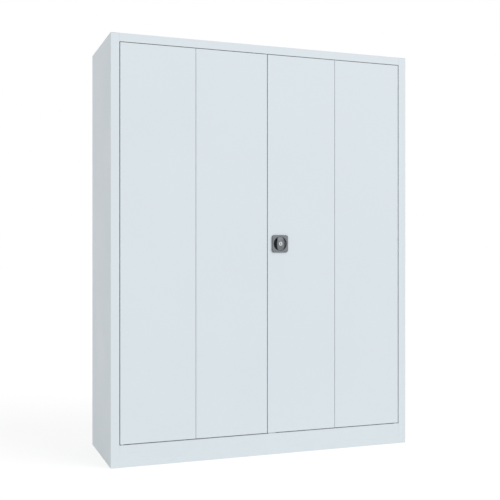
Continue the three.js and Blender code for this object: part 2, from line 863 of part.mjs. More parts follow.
function keyPlug() {
  const front = plugRecess - cylinderProud;
  const plug = spindleBar(plugRadius, [front, cupFloorFront - 2 * cylinderFit]);
  const depths = [front - overrun, front + keywayDepth];
  return plug.subtract(block([-keywayHalfWidth, keywayHalfWidth], depths, [-keywayBelow, keywayAbove]));
}

// Outline of the pinion with involute flanks; one tooth points along X at rest
function pinionOutline() {
  const baseRadius = pitchRadius * Math.cos(pressureAngle);
  const tipRadius = pitchRadius + gearModule;
  const involute = (angle) => Math.tan(angle) - angle;
  const halfTooth = (radius) => {
    const opened = radius > baseRadius ? involute(Math.acos(baseRadius / radius)) : 0;
    return Math.PI / 2 / pinionTeeth + involute(pressureAngle) - opened;
  };
  const flank = [[pinionRootRadius, halfTooth(baseRadius)]];
  for (let i = 0; i <= flankSteps; i += 1) {
    const radius = baseRadius + ((tipRadius - baseRadius) * i) / flankSteps;
    flank.push([radius, halfTooth(radius)]);
  }
  const points = [];
  for (let tooth = 0; tooth < pinionTeeth; tooth += 1) {
    const middle = (tooth * 2 * Math.PI) / pinionTeeth;
    for (const [radius, half] of flank) {
      points.push([radius * Math.cos(middle - half), radius * Math.sin(middle - half)]);
    }
    for (const [radius, half] of [...flank].reverse()) {
      points.push([radius * Math.cos(middle + half), radius * Math.sin(middle + half)]);
    }
  }
  return points;
}

function driveSpindle() {
  const half = spindleSize / 2;
  const front = cupFloorFront + 2 * spindleFit;
  const squareEnd = nutFront - seam;
  const square = block([-half, half], [front, squareEnd], [-half, half]);
  const pinion = prismAlongY(pinionOutline(), pinionFront, pinionFront + pinionWidth);
  const neck = spindleBar(spindleNeckRadius, [squareEnd - seam, spindleEnd], smallSides);
  return joined([square, pinion, neck]);
}

// Outline of a rod whose teeth face the pinion; it runs along Z and its tip is at the top
function rodOutline(tipHeight) {
  const toothHalf = (toothPitch / 2 - backlash) / 2;
  const slope = Math.tan(pressureAngle);
  const rootHalf = toothHalf + rackDedendum * slope;
  const tipHalf = toothHalf - rackAddendum * slope;
  const tipLine = pitchRadius - rackAddendum;
  const tail = -rackTeethPassed * toothPitch - rackTail;
  const points = [[rodOuter, tail], [rodOuter, tipHeight], [rodInner, tipHeight]];
  for (let tooth = rackTeethAhead - 1; tooth >= -rackTeethPassed; tooth -= 1) {
    const middle = (tooth + 0.5) * toothPitch;
    points.push([rodInner, middle + rootHalf], [tipLine, middle + tipHalf]);
    points.push([tipLine, middle - tipHalf], [rodInner, middle - rootHalf]);
  }
  points.push([rodInner, tail]);
  return points;
}

function upperRod() {
  const tip = doorTop - rodTipInset - lockHeight;
  return prismAlongY(rodOutline(tip), rodFront, rodFront + rodThickness);
}

function lowerRod() {
  const tip = lockHeight - doorBottom - rodTipInset;
  const turnedOutline = rodOutline(tip).map(([x, z]) => [-x, -z]);
  return prismAlongY(turnedOutline, rodFront, rodFront + rodThickness);
}

function rodGuide(sign) {
  const across = (margin) => sideSpan(sign, rodInner - margin, rodOuter + margin);
  const middle = sign * rodGuideOffset;
  const half = rodGuideHeight / 2;
  const bodyDepths = [skinBack + seam, hemFront + rodGuideWall];
  const body = block(across(rodGuideWall), bodyDepths, [middle - half, middle + half]);
  const slotDepths = [rodFront - seam, rodFront + rodThickness + seam];
  const slotHeights = [middle - half - overrun, middle + half + overrun];
  return body.subtract(block(across(seam), slotDepths, slotHeights));
}

function lockCase() {
  const front = skinBack + seam;
  const path = [
    [caseHalfWidth + caseFlange, front + caseWall],
    [caseHalfWidth, front + caseWall],
    [caseHalfWidth, caseBack],
    [-caseHalfWidth, caseBack],
    [-caseHalfWidth, front + caseWall],
    [-caseHalfWidth - caseFlange, front + caseWall],
  ];
  const channel = prismAlongZ(folded(path, caseWall), -caseHalfHeight, caseHalfHeight);
  return channel.subtract(spindleBar(caseHoleRadius, [caseBack - caseWall - overrun, caseBack + overrun]));
}

function latchTongue() {
  const depths = [tongueFront, tongueFront + tongueThickness];
  const arm = block([-tongueHalfWidth, tongueHalfWidth], depths, [0, tongueLength]);
  const hub = spindleBar(tongueHubRadius, depths);
  const half = spindleSize / 2 + spindleFit;
  const holeDepths = [tongueFront - overrun, tongueFront + tongueThickness + overrun];
  return arm.add(hub).subtract(block([-half, half], holeDepths, [-half, half]));
}

function tongueNut() {
  const nut = spindleBar(nutRadius, [nutFront, nutFront + nutThickness], 6);
  const boreDepths = [nutFront - overrun, nutFront + nutThickness + overrun];
  return nut.subtract(spindleBar(spindleNeckRadius + nutFit, boreDepths, smallSides));
}

// Assembly

const cabinet = new THREE.Group();
cabinet.position.y = frontPlane;

addPiece(cabinet, 'top_panel', topPanel(), paint);
addPiece(cabinet, 'plinth', plinth(), paint);
addPiece(cabinet, 'bottom_panel', bottomPanel(), paint);
addPiece(cabinet, 'back_panel', backPanel(), paint);
addPiece(cabinet, 'centre_partition', centrePartition(), paint);
addPiece(cabinet, 'top_guide_rail', guideRail(), zinc);
addPiece(cabinet, 'closing_ramp', closingRamp(), nylon);

for (const { side, sign } of [{ side: 'left', sign: -1 }, { side: 'right', sign: 1 }]) {
  const half = new THREE.Group();
  half.scale.x = sign;
  cabinet.add(half);

  addPiece(half, `${side}_side_panel`, sidePanel(), paint);
  for (const [where, place] of Object.entries(footPlaces)) {
    addPiece(half, `${side}_${where}_foot`, levellingFoot(place), zinc);
  }
  shelfHeightShares.forEach((share, i) => {
    addPiece(half, `${side}_shelf_${i + 1}`, shelf(share), paint);
  });
  addPiece(half, `${side}_bottom_bush`, bottomBush(), nylon);
  addPiece(half, `${side}_top_bush`, topBush(), nylon);

  addPiece(half, `${side}_outer_panel`, outerPanel(), paint);
  const outerMiddle = foldLine + foldGap / 2 + doorPanelWidth / 2;
  addPiece(half, `${side}_outer_stiffener`, stiffener(outerMiddle), paint);
  addPiece(half, `${side}_top_pivot_pin`, pivotPin(true), steel);
  addPiece(half, `${side}_bottom_pivot_pin`, pivotPin(false), steel);
  addPiece(half, `${side}_hinge_outer_leaf`, hingeLeaf(1, 0), paint);
  addPiece(half, `${side}_hinge_pin`, hingePin(), steel);

  const innerSolid = sign > 0 ? innerPanelWithLock() : innerPanel();
  const innerMiddle = leadingEdge + doorPanelWidth / 2 + stiffenerOffset;
  addPiece(half, `${side}_inner_panel`, innerSolid, paint);
  addPiece(half, `${side}_inner_stiffener`, stiffener(innerMiddle), paint);
  addPiece(half, `${side}_hinge_inner_leaf`, hingeLeaf(-1, 1), paint);
  addPiece(half, `${side}_guide_bracket`, guideBracket(), steel);
  addPiece(half, `${side}_guide_roller`, guideRoller(), nylon);
  if (sign < 0) {
    addPiece(half, 'closing_strip', closingStrip(), paint);
  }
}

const lock = new THREE.Group();
lock.position.set(lockFromCentre, 0, lockHeight);
cabinet.add(lock);
addPiece(lock, 'lock_plate', lockPlate(), darkPlastic);
addPiece(lock, 'turn_handle', turnHandle(), darkPlastic);
addPiece(lock, 'cylinder_barrel', cylinderBarrel(), chrome);
addPiece(lock, 'key_plug', keyPlug(), chrome);
addPiece(lock, 'drive_spindle', driveSpindle(), steel);
addPiece(lock, 'upper_rod', upperRod(), zinc);
addPiece(lock, 'lower_rod', lowerRod(), zinc);
addPiece(lock, 'upper_rod_guide', rodGuide(1), nylon);
addPiece(lock, 'lower_rod_guide', rodGuide(-1), nylon);
addPiece(lock, 'lock_case', lockCase(), zinc);
addPiece(lock, 'latch_tongue', latchTongue(), zinc);
addPiece(lock, 'tongue_nut', tongueNut(), zinc);

export default cabinet;
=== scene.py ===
# %% [markdown]
# Folding door cabinet
#
# This lesson dresses a measured sheet-steel office cabinet, 1.5 m wide and 1.95 m high, for a
# product picture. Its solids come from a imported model, in metres, and each one already moves
# with its own body. Here they get rounded sheet edges, real finishes, and fine pieces where a
# close look would find the solids too plain: the turn handle, the key cylinder and the fixings.

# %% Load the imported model
import json
import math

import bmesh
import bpy
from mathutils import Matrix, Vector

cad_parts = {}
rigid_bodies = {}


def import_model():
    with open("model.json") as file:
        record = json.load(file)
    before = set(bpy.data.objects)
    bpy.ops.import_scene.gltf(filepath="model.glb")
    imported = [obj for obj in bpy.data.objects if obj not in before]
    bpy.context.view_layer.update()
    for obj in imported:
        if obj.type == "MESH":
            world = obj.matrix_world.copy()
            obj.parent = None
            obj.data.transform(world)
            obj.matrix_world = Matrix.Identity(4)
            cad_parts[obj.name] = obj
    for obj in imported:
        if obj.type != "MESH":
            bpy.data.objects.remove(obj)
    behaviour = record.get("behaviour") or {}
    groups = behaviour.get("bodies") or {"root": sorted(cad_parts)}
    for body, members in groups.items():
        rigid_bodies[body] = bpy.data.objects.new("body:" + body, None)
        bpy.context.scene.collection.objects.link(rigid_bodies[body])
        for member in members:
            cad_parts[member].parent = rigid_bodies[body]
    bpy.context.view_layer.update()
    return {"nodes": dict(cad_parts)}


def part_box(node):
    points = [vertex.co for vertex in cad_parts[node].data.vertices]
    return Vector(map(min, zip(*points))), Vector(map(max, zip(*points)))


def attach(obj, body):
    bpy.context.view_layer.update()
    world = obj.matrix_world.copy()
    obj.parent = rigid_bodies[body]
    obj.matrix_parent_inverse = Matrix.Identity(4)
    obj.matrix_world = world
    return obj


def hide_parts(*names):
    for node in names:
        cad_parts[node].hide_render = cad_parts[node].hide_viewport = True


for leftover in list(bpy.data.objects):
    bpy.data.objects.remove(leftover)
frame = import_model()
MM = 0.001

# %% [markdown]
# Camera
#
# The photograph was taken from the front and 20 degrees to the left, at half the cabinet's
# height, so its vertical edges stay vertical. A camera that looks level along the same line,
# with the lens that the slant of the top and bottom edges asks for, gives the same outline.
# Its place is in metres and its turn in degrees.

# %% Place the camera
CAMERA_AT = (-1.43795, -3.96023, 0.97655)
CAMERA_TURN = -19.955
LENS_MM, SENSOR_MM = 60.14, 36
FARTHEST = 200

camera = bpy.data.objects.new("photo_camera", bpy.data.cameras.new("photo_camera"))
camera.data.lens = LENS_MM
camera.data.sensor_width = SENSOR_MM
camera.data.clip_end = FARTHEST
camera.location = CAMERA_AT
camera.rotation_euler = (math.radians(90), 0, math.radians(CAMERA_TURN))
bpy.context.collection.objects.link(camera)
bpy.context.scene.camera = camera
bpy.context.scene.view_settings.view_transform = "Standard"
print("camera turned by", round(math.degrees(camera.rotation_euler.z), 2), "degrees")

# %% [markdown]
# Helpers for nodes
#
# A material is a small machine of nodes. Two short helpers keep the recipes readable: one adds
# a node and fills or links its sockets, the other does a sum. Sockets can be given a plain
# value or the output of another node.

# %% Add nodes in one line
def join_up(tree, socket, value):
    """Puts a plain value into a socket, or links another node's output to it."""
    if isinstance(value, bpy.types.NodeSocket):
        tree.links.new(value, socket)
    else:
        socket.default_value = value


def add(tree, kind, settings=None, **inputs):
    """A new node; settings are its own options, inputs its sockets (an underscore for a space)."""
    made = tree.nodes.new(kind)
    for option, value in (settings or {}).items():
        setattr(made, option, value)
    for label, value in inputs.items():
        join_up(tree, made.inputs[label.replace("_", " ")], value)
    return made


def sum_of(tree, operation, first, second=0.0, clamp=False):
    """The result socket of a sum such as MULTIPLY or ADD."""
    made = tree.nodes.new("ShaderNodeMath")
    made.operation = operation
    made.use_clamp = clamp
    join_up(tree, made.inputs[0], first)
    join_up(tree, made.inputs[1], second)
    return made.outputs[0]


def ramp(tree, value, low, high, to_low=0.0, to_high=1.0):
    """A smooth step: to_low below low, to_high above high."""
    made = add(tree, "ShaderNodeMapRange", {"interpolation_type": "SMOOTHSTEP"}, Value=value)
    for label, number in (("From Min", low), ("From Max", high), ("To Min", to_low), ("To Max", to_high)):
        join_up(tree, made.inputs[label], number)
    return made.outputs["Result"]


print("node helpers ready")

# %% [markdown]
# Floor, light and background
#
# The cabinet stands in a white studio. A white floor that takes a weak shadow keeps it on the
# ground without a grey picture. The world is plain and a little dim where it lights the
# cabinet, and white where the camera or a reflection sees it. One wide, soft sun from the front
# makes the doors a step lighter than the side, as in the photograph. The sun's spread, tilt and
# turn are in degrees.

# %% Build the studio
def seen_directly(tree):
    """1 for rays from the camera, from a mirror or through glass, 0 for light that bounces."""
    path = tree.nodes.new("ShaderNodeLightPath")
    seen = sum_of(tree, "ADD", path.outputs["Is Camera Ray"], path.outputs["Is Glossy Ray"])
    return sum_of(tree, "ADD", seen, path.outputs["Is Transmission Ray"], clamp=True)


WORLD_LEVEL = 0.70
SUN_LEVEL, SUN_SPREAD, SUN_TILT, SUN_TURN = 1.57, 50, 58, 48
FLOOR_GREY, FLOOR_BOUNCE, FLOOR_GLOW = 0.3, 0.42, 0.74
FLOOR_REACH = 40
WHITE = (1, 1, 1, 1)

world = bpy.data.worlds.new("studio")
bpy.context.scene.world = world
world.use_nodes = True
tree = world.node_tree
tree.nodes.clear()
lit = add(tree, "ShaderNodeBackground", Color=WHITE, Strength=WORLD_LEVEL)
white = add(tree, "ShaderNodeBackground", Color=WHITE, Strength=1.0)
sky = add(tree, "ShaderNodeMixShader", Fac=seen_directly(tree))
tree.links.new(lit.outputs[0], sky.inputs[1])
tree.links.new(white.outputs[0], sky.inputs[2])
add(tree, "ShaderNodeOutputWorld", Surface=sky.outputs[0])

floor_paint = bpy.data.materials.new("studio_floor")
floor_paint.use_nodes = True
tree = floor_paint.node_tree
tree.nodes.clear()
matt = add(tree, "ShaderNodeBsdfDiffuse", Color=(FLOOR_GREY, FLOOR_GREY, FLOOR_GREY, 1))
lit = add(tree, "ShaderNodeEmission", Color=WHITE, Strength=FLOOR_BOUNCE)
glow = add(tree, "ShaderNodeEmission", Color=WHITE, Strength=FLOOR_GLOW)
brightness = add(tree, "ShaderNodeMixShader", Fac=seen_directly(tree))
tree.links.new(lit.outputs[0], brightness.inputs[1])
tree.links.new(glow.outputs[0], brightness.inputs[2])
whole = tree.nodes.new("ShaderNodeAddShader")
tree.links.new(matt.outputs[0], whole.inputs[0])
tree.links.new(brightness.outputs[0], whole.inputs[1])
add(tree, "ShaderNodeOutputMaterial", Surface=whole.outputs[0])

floor_mesh = bpy.data.meshes.new("studio_floor")
corners = [(x * FLOOR_REACH, y * FLOOR_REACH, 0) for x, y in ((-1, -1), (1, -1), (1, 1), (-1, 1))]
floor_mesh.from_pydata(corners, [], [(0, 1, 2, 3)])
floor = bpy.data.objects.new("studio_floor", floor_mesh)
floor_mesh.materials.append(floor_paint)
bpy.context.collection.objects.link(floor)

sun = bpy.data.objects.new("soft_front_sun", bpy.data.lights.new("soft_front_sun", "SUN"))
sun.data.energy = SUN_LEVEL
sun.data.angle = math.radians(SUN_SPREAD)
sun.rotation_euler = (math.radians(SUN_TILT), 0, math.radians(SUN_TURN))
bpy.context.collection.objects.link(sun)
print("world level", WORLD_LEVEL, "sun", SUN_LEVEL, "floor glow", FLOOR_GLOW)

# %% [markdown]
# Surface effects as node groups
#
# Powder coat, plated steel and moulded plastic share a few effects: a fine skin, slow changes
# of tone, dust that settles on what faces up, and marks near the floor. Each is one group with
# named inputs, so every finish can use it with its own values. The groups work in each
# object's own coordinates, in metres, so the grain keeps its real size.

# %% Start a node group
def effect(name, inputs, outputs):
    """An empty effect with number inputs and their starting values, and number outputs."""
    group = bpy.data.node_groups.new(name, "ShaderNodeTree")
    for label, value in inputs.items():
        socket = group.interface.new_socket(label, in_out="INPUT", socket_type="NodeSocketFloat")
        socket.default_value = value
    for label in outputs:
        group.interface.new_socket(label, in_out="OUTPUT", socket_type="NodeSocketFloat")
    return group, group.nodes.new("NodeGroupInput"), group.nodes.new("NodeGroupOutput")


def own_place(tree):
    """The point in the object's own coordinates."""
    return tree.nodes.new("ShaderNodeTexCoord").outputs["Object"]


def noise(tree, place, scale, detail=2.0, roughness=0.5):
    """Soft noise from 0 to 1; scale is its number of spots in a metre."""
    made = add(tree, "ShaderNodeTexNoise", Vector=place, Detail=detail, Roughness=roughness)
    join_up(tree, made.inputs["Scale"], scale)
    return made.outputs["Fac"]


print("effect helpers ready")

# %% Orange peel: the fine skin of baked powder coat
FINER_GRAIN, FINE_SHARE, CLOUDS_ON_PAINT = 3.1, 0.35, 3.0
peel_group, given, wanted = effect("Orange peel", {"Grain mm": 1.6}, ["Height", "Tone"])
place = own_place(peel_group)
scale = sum_of(peel_group, "DIVIDE", 1 / MM, given.outputs["Grain mm"])
coarse = noise(peel_group, place, scale, detail=1.0)
fine = noise(peel_group, place, sum_of(peel_group, "MULTIPLY", scale, FINER_GRAIN))
height = sum_of(peel_group, "ADD", coarse, sum_of(peel_group, "MULTIPLY", fine, FINE_SHARE))
tone = noise(peel_group, place, CLOUDS_ON_PAINT, detail=3.0, roughness=0.55)
join_up(peel_group, wanted.inputs["Height"], height)
join_up(peel_group, wanted.inputs["Tone"], tone)
print("orange peel outputs:", [s.name for s in wanted.inputs if s.name])

# %% Settled dust: a thin veil on faces that look up
FACES_UP, PATCHES, LEAST_DUST, PATCHES_IN_A_METRE = (0.7, 0.98), (0.3, 0.75), 0.35, 14.0
dust_group, given, wanted = effect("Settled dust", {"Amount": 0.5}, ["Mask"])
facing = dust_group.nodes.new("ShaderNodeNewGeometry")
split = add(dust_group, "ShaderNodeSeparateXYZ", Vector=facing.outputs["Normal"])
upward = ramp(dust_group, split.outputs["Z"], *FACES_UP)
patchy = noise(dust_group, own_place(dust_group), PATCHES_IN_A_METRE, detail=5.0, roughness=0.6)
patchy = ramp(dust_group, patchy, *PATCHES, LEAST_DUST, 1.0)
veil = sum_of(dust_group, "MULTIPLY", upward, patchy)
veil = sum_of(dust_group, "MULTIPLY", veil, given.outputs["Amount"])
join_up(dust_group, wanted.inputs["Mask"], veil)
print("dust group ready")

# %% Floor scuffs: short level strokes that fade out above the floor
STROKES_IN_A_METRE, STROKE_EDGE, FADING = (9.0, 9.0, 160.0), (0.6, 0.72), (0.1, 1.0)
scuff_group, given, wanted = effect("Floor scuffs", {"Reach m": 0.12, "Amount": 0.5}, ["Mask"])
place = own_place(scuff_group)
stretch = scuff_group.nodes.new("ShaderNodeVectorMath")
stretch.operation = "MULTIPLY"
join_up(scuff_group, stretch.inputs[0], place)
stretch.inputs[1].default_value = STROKES_IN_A_METRE
strokes = noise(scuff_group, stretch.outputs[0], 1.0, detail=4.0, roughness=0.62)
strokes = ramp(scuff_group, strokes, *STROKE_EDGE)
split = add(scuff_group, "ShaderNodeSeparateXYZ", Vector=place)
low = sum_of(scuff_group, "DIVIDE", split.outputs["Z"], given.outputs["Reach m"])
fading = ramp(scuff_group, low, *FADING, 1.0, 0.0)
marks = sum_of(scuff_group, "MULTIPLY", strokes, fading)
marks = sum_of(scuff_group, "MULTIPLY", marks, given.outputs["Amount"])
join_up(scuff_group, wanted.inputs["Mask"], marks)
print("scuff group ready")

# %% Metal grain: crystals of plated sheet, or the drawn lines of bright steel
LINES_IN_A_METRE, CRYSTAL_HEIGHT = 900.0, 0.4
grain_group, given, wanted = effect(
    "Metal grain", {"Crystal mm": 6.0, "Stretch": 1.0}, ["Crystals", "Lines", "Height"]
)
place = own_place(grain_group)
cells = add(grain_group, "ShaderNodeTexVoronoi", {"feature": "F1"}, Vector=place)
scale = sum_of(grain_group, "DIVIDE", 1 / MM, given.outputs["Crystal mm"])
join_up(grain_group, cells.inputs["Scale"], scale)
shade_of_cell = add(grain_group, "ShaderNodeSeparateColor", Color=cells.outputs["Color"])
join_up(grain_group, wanted.inputs["Crystals"], shade_of_cell.outputs["Red"])
squash = add(grain_group, "ShaderNodeCombineXYZ", X=LINES_IN_A_METRE, Y=LINES_IN_A_METRE)
along = sum_of(grain_group, "DIVIDE", LINES_IN_A_METRE, given.outputs["Stretch"])
join_up(grain_group, squash.inputs["Z"], along)
lines_at = grain_group.nodes.new("ShaderNodeVectorMath")
lines_at.operation = "MULTIPLY"
join_up(grain_group, lines_at.inputs[0], place)
join_up(grain_group, lines_at.inputs[1], squash.outputs[0])
lines = noise(grain_group, lines_at.outputs[0], 1.0, detail=3.0, roughness=0.6)
join_up(grain_group, wanted.inputs["Lines"], lines)
relief = sum_of(grain_group, "MULTIPLY", shade_of_cell.outputs["Green"], CRYSTAL_HEIGHT)
join_up(grain_group, wanted.inputs["Height"], sum_of(grain_group, "ADD", lines, relief))
print("metal grain group ready")

# %% Moulded skin: the fine spark-eroded texture of plastic parts
FINER_PITS, CLOUDS_ON_PLASTIC = 2.3, 40.0
skin_group, given, wanted = effect("Moulded skin", {"Grain mm": 0.5}, ["Height", "Tone"])
place = own_place(skin_group)
scale = sum_of(skin_group, "DIVIDE", 1 / MM, given.outputs["Grain mm"])
pits = add(skin_group, "ShaderNodeTexVoronoi", {"feature": "SMOOTH_F1"}, Vector=place)
join_up(skin_group, pits.inputs["Scale"], scale)
rough = noise(skin_group, place, sum_of(skin_group, "MULTIPLY", scale, FINER_PITS), detail=3.0)
height = sum_of(skin_group, "ADD", pits.outputs["Distance"], rough)
tone = noise(skin_group, place, CLOUDS_ON_PLASTIC, detail=4.0, roughness=0.6)
join_up(skin_group, wanted.inputs["Height"], height)
join_up(skin_group, wanted.inputs["Tone"], tone)
print("moulded skin group ready")

# %% Weld dents: rows of small rings down the back, where its flanges are welded, each with painted shade on its rim
DENT_MM, RIM_STARTS_MM, RIM_ENDS_MM = (2.0, 3.4), (1.8, 2.6), (2.8, 3.6)
FACES_BACK = (0.8, 0.95)
dent_and_rim_shade_group, given, wanted = effect(
    "Weld dents and painted rim shade", {"Line mm": 700.0, "Pitch mm": 120.0}, ["Height", "Mask"]
)
split = add(dent_and_rim_shade_group, "ShaderNodeSeparateXYZ", Vector=own_place(dent_and_rim_shade_group))
across = sum_of(dent_and_rim_shade_group, "ABSOLUTE", split.outputs["X"])
across = sum_of(dent_and_rim_shade_group, "MULTIPLY", across, 1 / MM)
across = sum_of(dent_and_rim_shade_group, "SUBTRACT", across, given.outputs["Line mm"])
upward = sum_of(dent_and_rim_shade_group, "MULTIPLY", split.outputs["Z"], 1 / MM)
half_pitch = sum_of(dent_and_rim_shade_group, "MULTIPLY", given.outputs["Pitch mm"], 0.5)
upward = sum_of(dent_and_rim_shade_group, "PINGPONG", upward, half_pitch)
spot = add(dent_and_rim_shade_group, "ShaderNodeCombineXYZ", X=across, Y=upward)
reach = add(dent_and_rim_shade_group, "ShaderNodeVectorMath", {"operation": "LENGTH"})
join_up(dent_and_rim_shade_group, reach.inputs[0], spot.outputs[0])
reach = reach.outputs["Value"]
facing = dent_and_rim_shade_group.nodes.new("ShaderNodeNewGeometry").outputs["Normal"]
facing = add(dent_and_rim_shade_group, "ShaderNodeSeparateXYZ", Vector=facing).outputs["Y"]
on_back = ramp(dent_and_rim_shade_group, facing, *FACES_BACK)
dent = ramp(dent_and_rim_shade_group, reach, *DENT_MM, -1.0, 0.0)
# The rim mask marks where painted shade goes around each dent
rim_starts = ramp(dent_and_rim_shade_group, reach, *RIM_STARTS_MM)
rim_ends = ramp(dent_and_rim_shade_group, reach, *RIM_ENDS_MM, 1.0, 0.0)
rim = sum_of(dent_and_rim_shade_group, "MULTIPLY", rim_starts, rim_ends)
join_up(dent_and_rim_shade_group, wanted.inputs["Height"], sum_of(dent_and_rim_shade_group, "MULTIPLY", dent, on_back))
join_up(dent_and_rim_shade_group, wanted.inputs["Mask"], sum_of(dent_and_rim_shade_group, "MULTIPLY", rim, on_back))
print("weld dents group ready")

# %% Painted shade and light by depth: a mask that grows between two depths in the lock, or only on its right side
RIGHT_FROM, RIGHT_TO = 14.0, 22.0
painted_light_and_tone_group, given, wanted = effect(
    "Painted light and tone by depth", {"From mm": -3.0, "To mm": 5.0, "Side": 0.0}, ["Mask"]
)
split = add(painted_light_and_tone_group, "ShaderNodeSeparateXYZ", Vector=own_place(painted_light_and_tone_group))
depth = sum_of(painted_light_and_tone_group, "MULTIPLY", split.outputs["Y"], 1 / MM)
mask = ramp(painted_light_and_tone_group, depth, given.outputs["From mm"], given.outputs["To mm"])
across = sum_of(painted_light_and_tone_group, "MULTIPLY", split.outputs["X"], 1 / MM)
# With Side at 1 the mask keeps only the lock's right, where painted light goes into the cup
other_side = ramp(painted_light_and_tone_group, across, RIGHT_FROM, RIGHT_TO, 1.0, 0.0)
other_side = sum_of(painted_light_and_tone_group, "MULTIPLY", other_side, given.outputs["Side"])
kept = sum_of(painted_light_and_tone_group, "SUBTRACT", 1.0, other_side)
join_up(painted_light_and_tone_group, wanted.inputs["Mask"], sum_of(painted_light_and_tone_group, "MULTIPLY", mask, kept))
print("depth tone group ready")

# %% [markdown]
# Finishes
#
# Each material keeps its own Principled shader; the groups only feed it masks and heights.
# The paint is a light grey powder coat, half matt. Colours are written as the picture shows
# them, because the studio light renders them about as they are written.

# %% Helpers for finishes
def linear(red, green, blue):
    """A colour from the 0-255 values that a picture viewer shows."""
    def one(value):
        value /= 255
        return value / 12.92 if value <= 0.04045 else ((value + 0.055) / 1.055) ** 2.4
    return (one(red), one(green), one(blue), 1.0)


def blank_finish(name):
    """A new material with its Principled shader and its tree."""
    finish = bpy.data.materials.new(name)
    finish.use_nodes = True
    return finish, finish.node_tree, finish.node_tree.nodes["Principled BSDF"]


def use(tree, group, **values):
    """An effect in a material; values are its inputs (an underscore for a space)."""
    made = tree.nodes.new("ShaderNodeGroup")
    made.node_tree = group
    for label, value in values.items():
        join_up(tree, made.inputs[label.replace("_", " ")], value)
    return made


def blend_colours(tree, mask, first, second):
    """The first colour where the mask is 0, the second where it is 1."""
    mixed = tree.nodes.new("ShaderNodeMix")
    mixed.data_type = "RGBA"
    # The node has sockets for every kind of data: its colours are inputs 6 and 7 and output 2
    join_up(tree, mixed.inputs[0], mask)
    join_up(tree, mixed.inputs[6], first)
    join_up(tree, mixed.inputs[7], second)
    return mixed.outputs[2]


def relief_from(tree, height, strength, depth_mm, over=None):
    """A normal that makes a height look as deep as depth_mm, on top of another relief."""
    made = add(tree, "ShaderNodeBump", Height=height, Strength=strength, Distance=depth_mm * MM)
    if over:
        join_up(tree, made.inputs["Normal"], over)
    return made.outputs["Normal"]


def shades(colour, change):
    """A colour a little darker and a little lighter, for slow changes of tone."""
    darker = tuple(c * (1 - change) for c in colour[:3]) + (1.0,)
    lighter = tuple(min(c * (1 + change), 1.0) for c in colour[:3]) + (1.0,)
    return darker, lighter


finishes = {}
# The scuff grey is a real mark; the weld grey is painted shade for the rims of the weld dents
SCUFF_GREY, WELD_RIM_PAINTED_SHADE = linear(122, 124, 126), linear(128, 132, 136)
DUST_ON_PAINT, DUST_ON_PLASTIC = linear(196, 193, 187), linear(176, 174, 170)
print("finish helpers ready")

# %% Powder coat for the carcass, the doors and the shelves
PEEL_MM, PAINT_CHANGE, PAINT_GLOSS = 1.8, 0.018, (-0.04, 0.05)
SCUFF_REACH, RIM_SHADE_SHOWS, DUST_DULLS = 0.16, 0.45, 0.35
MIDDLE_TONES = (0.3, 0.7)


def powder_coat(name, colour, roughness, scuffs, dust, weld_lines=()):
    """Baked paint; weld_lines are rows of weld dents in the back, in mm from its middle, each with a ring
    of painted shade on its rim.
    """
    finish, tree, shader = blank_finish(name)
    peel = use(tree, peel_group, Grain_mm=PEEL_MM)
    darker, lighter = shades(colour, PAINT_CHANGE)
    coat = blend_colours(tree, peel.outputs["Tone"], darker, lighter)
    marks = use(tree, scuff_group, Reach_m=SCUFF_REACH, Amount=scuffs)
    coat = blend_colours(tree, marks.outputs["Mask"], coat, SCUFF_GREY)
    veil = use(tree, dust_group, Amount=dust)
    coat = blend_colours(tree, veil.outputs["Mask"], coat, DUST_ON_PAINT)
    relief = relief_from(tree, peel.outputs["Height"], strength=0.35, depth_mm=0.035)
    for line in weld_lines:
        dents = use(tree, dent_and_rim_shade_group, Line_mm=line)
        relief = relief_from(tree, dents.outputs["Height"], strength=1.0, depth_mm=0.4, over=relief)
        # Painted shade: a darker ring on each dent's rim, standing in for the shade the dent would show
        rim = sum_of(tree, "MULTIPLY", dents.outputs["Mask"], RIM_SHADE_SHOWS)
        coat = blend_colours(tree, rim, coat, WELD_RIM_PAINTED_SHADE)
    join_up(tree, shader.inputs["Base Color"], coat)
    low, high = (roughness + change for change in PAINT_GLOSS)
    gloss = ramp(tree, peel.outputs["Tone"], *MIDDLE_TONES, low, high)
    dulled = sum_of(tree, "MULTIPLY", veil.outputs["Mask"], DUST_DULLS)
    gloss = sum_of(tree, "ADD", gloss, dulled, clamp=True)
    join_up(tree, shader.inputs["Roughness"], gloss)
    join_up(tree, shader.inputs["Normal"], relief)
    finishes[name] = finish


FRONT_GREY = linear(217, 226, 231)
BACK_WELDS = (700.0, 6.0)
powder_coat("body_paint", FRONT_GREY, roughness=0.50, scuffs=0.10, dust=0.30, weld_lines=BACK_WELDS)
powder_coat("door_paint", FRONT_GREY, roughness=0.50, scuffs=0.04, dust=0.10)
powder_coat("shelf_paint", FRONT_GREY, roughness=0.52, scuffs=0.0, dust=0.22)
print("paints:", sorted(finishes))

# %% Zinc, bright steel and chrome
MIDDLE_LINES = (0.25, 0.75)


def metal(name, colour, roughness, crystal_mm, stretch, depth_mm, contrast):
    """Bare or plated metal; stretch is how much longer than wide its grain is."""
    finish, tree, shader = blank_finish(name)
    grain = use(tree, grain_group, Crystal_mm=crystal_mm, Stretch=stretch)
    darker, lighter = shades(colour, contrast)
    sheet = blend_colours(tree, grain.outputs["Crystals"], darker, lighter)
    join_up(tree, shader.inputs["Base Color"], sheet)
    shader.inputs["Metallic"].default_value = 1.0
    low, high = roughness
    gloss = ramp(tree, grain.outputs["Lines"], *MIDDLE_LINES, low, high)
    relief = relief_from(tree, grain.outputs["Height"], strength=0.3, depth_mm=depth_mm)
    join_up(tree, shader.inputs["Roughness"], gloss)
    join_up(tree, shader.inputs["Normal"], relief)
    finishes[name] = finish


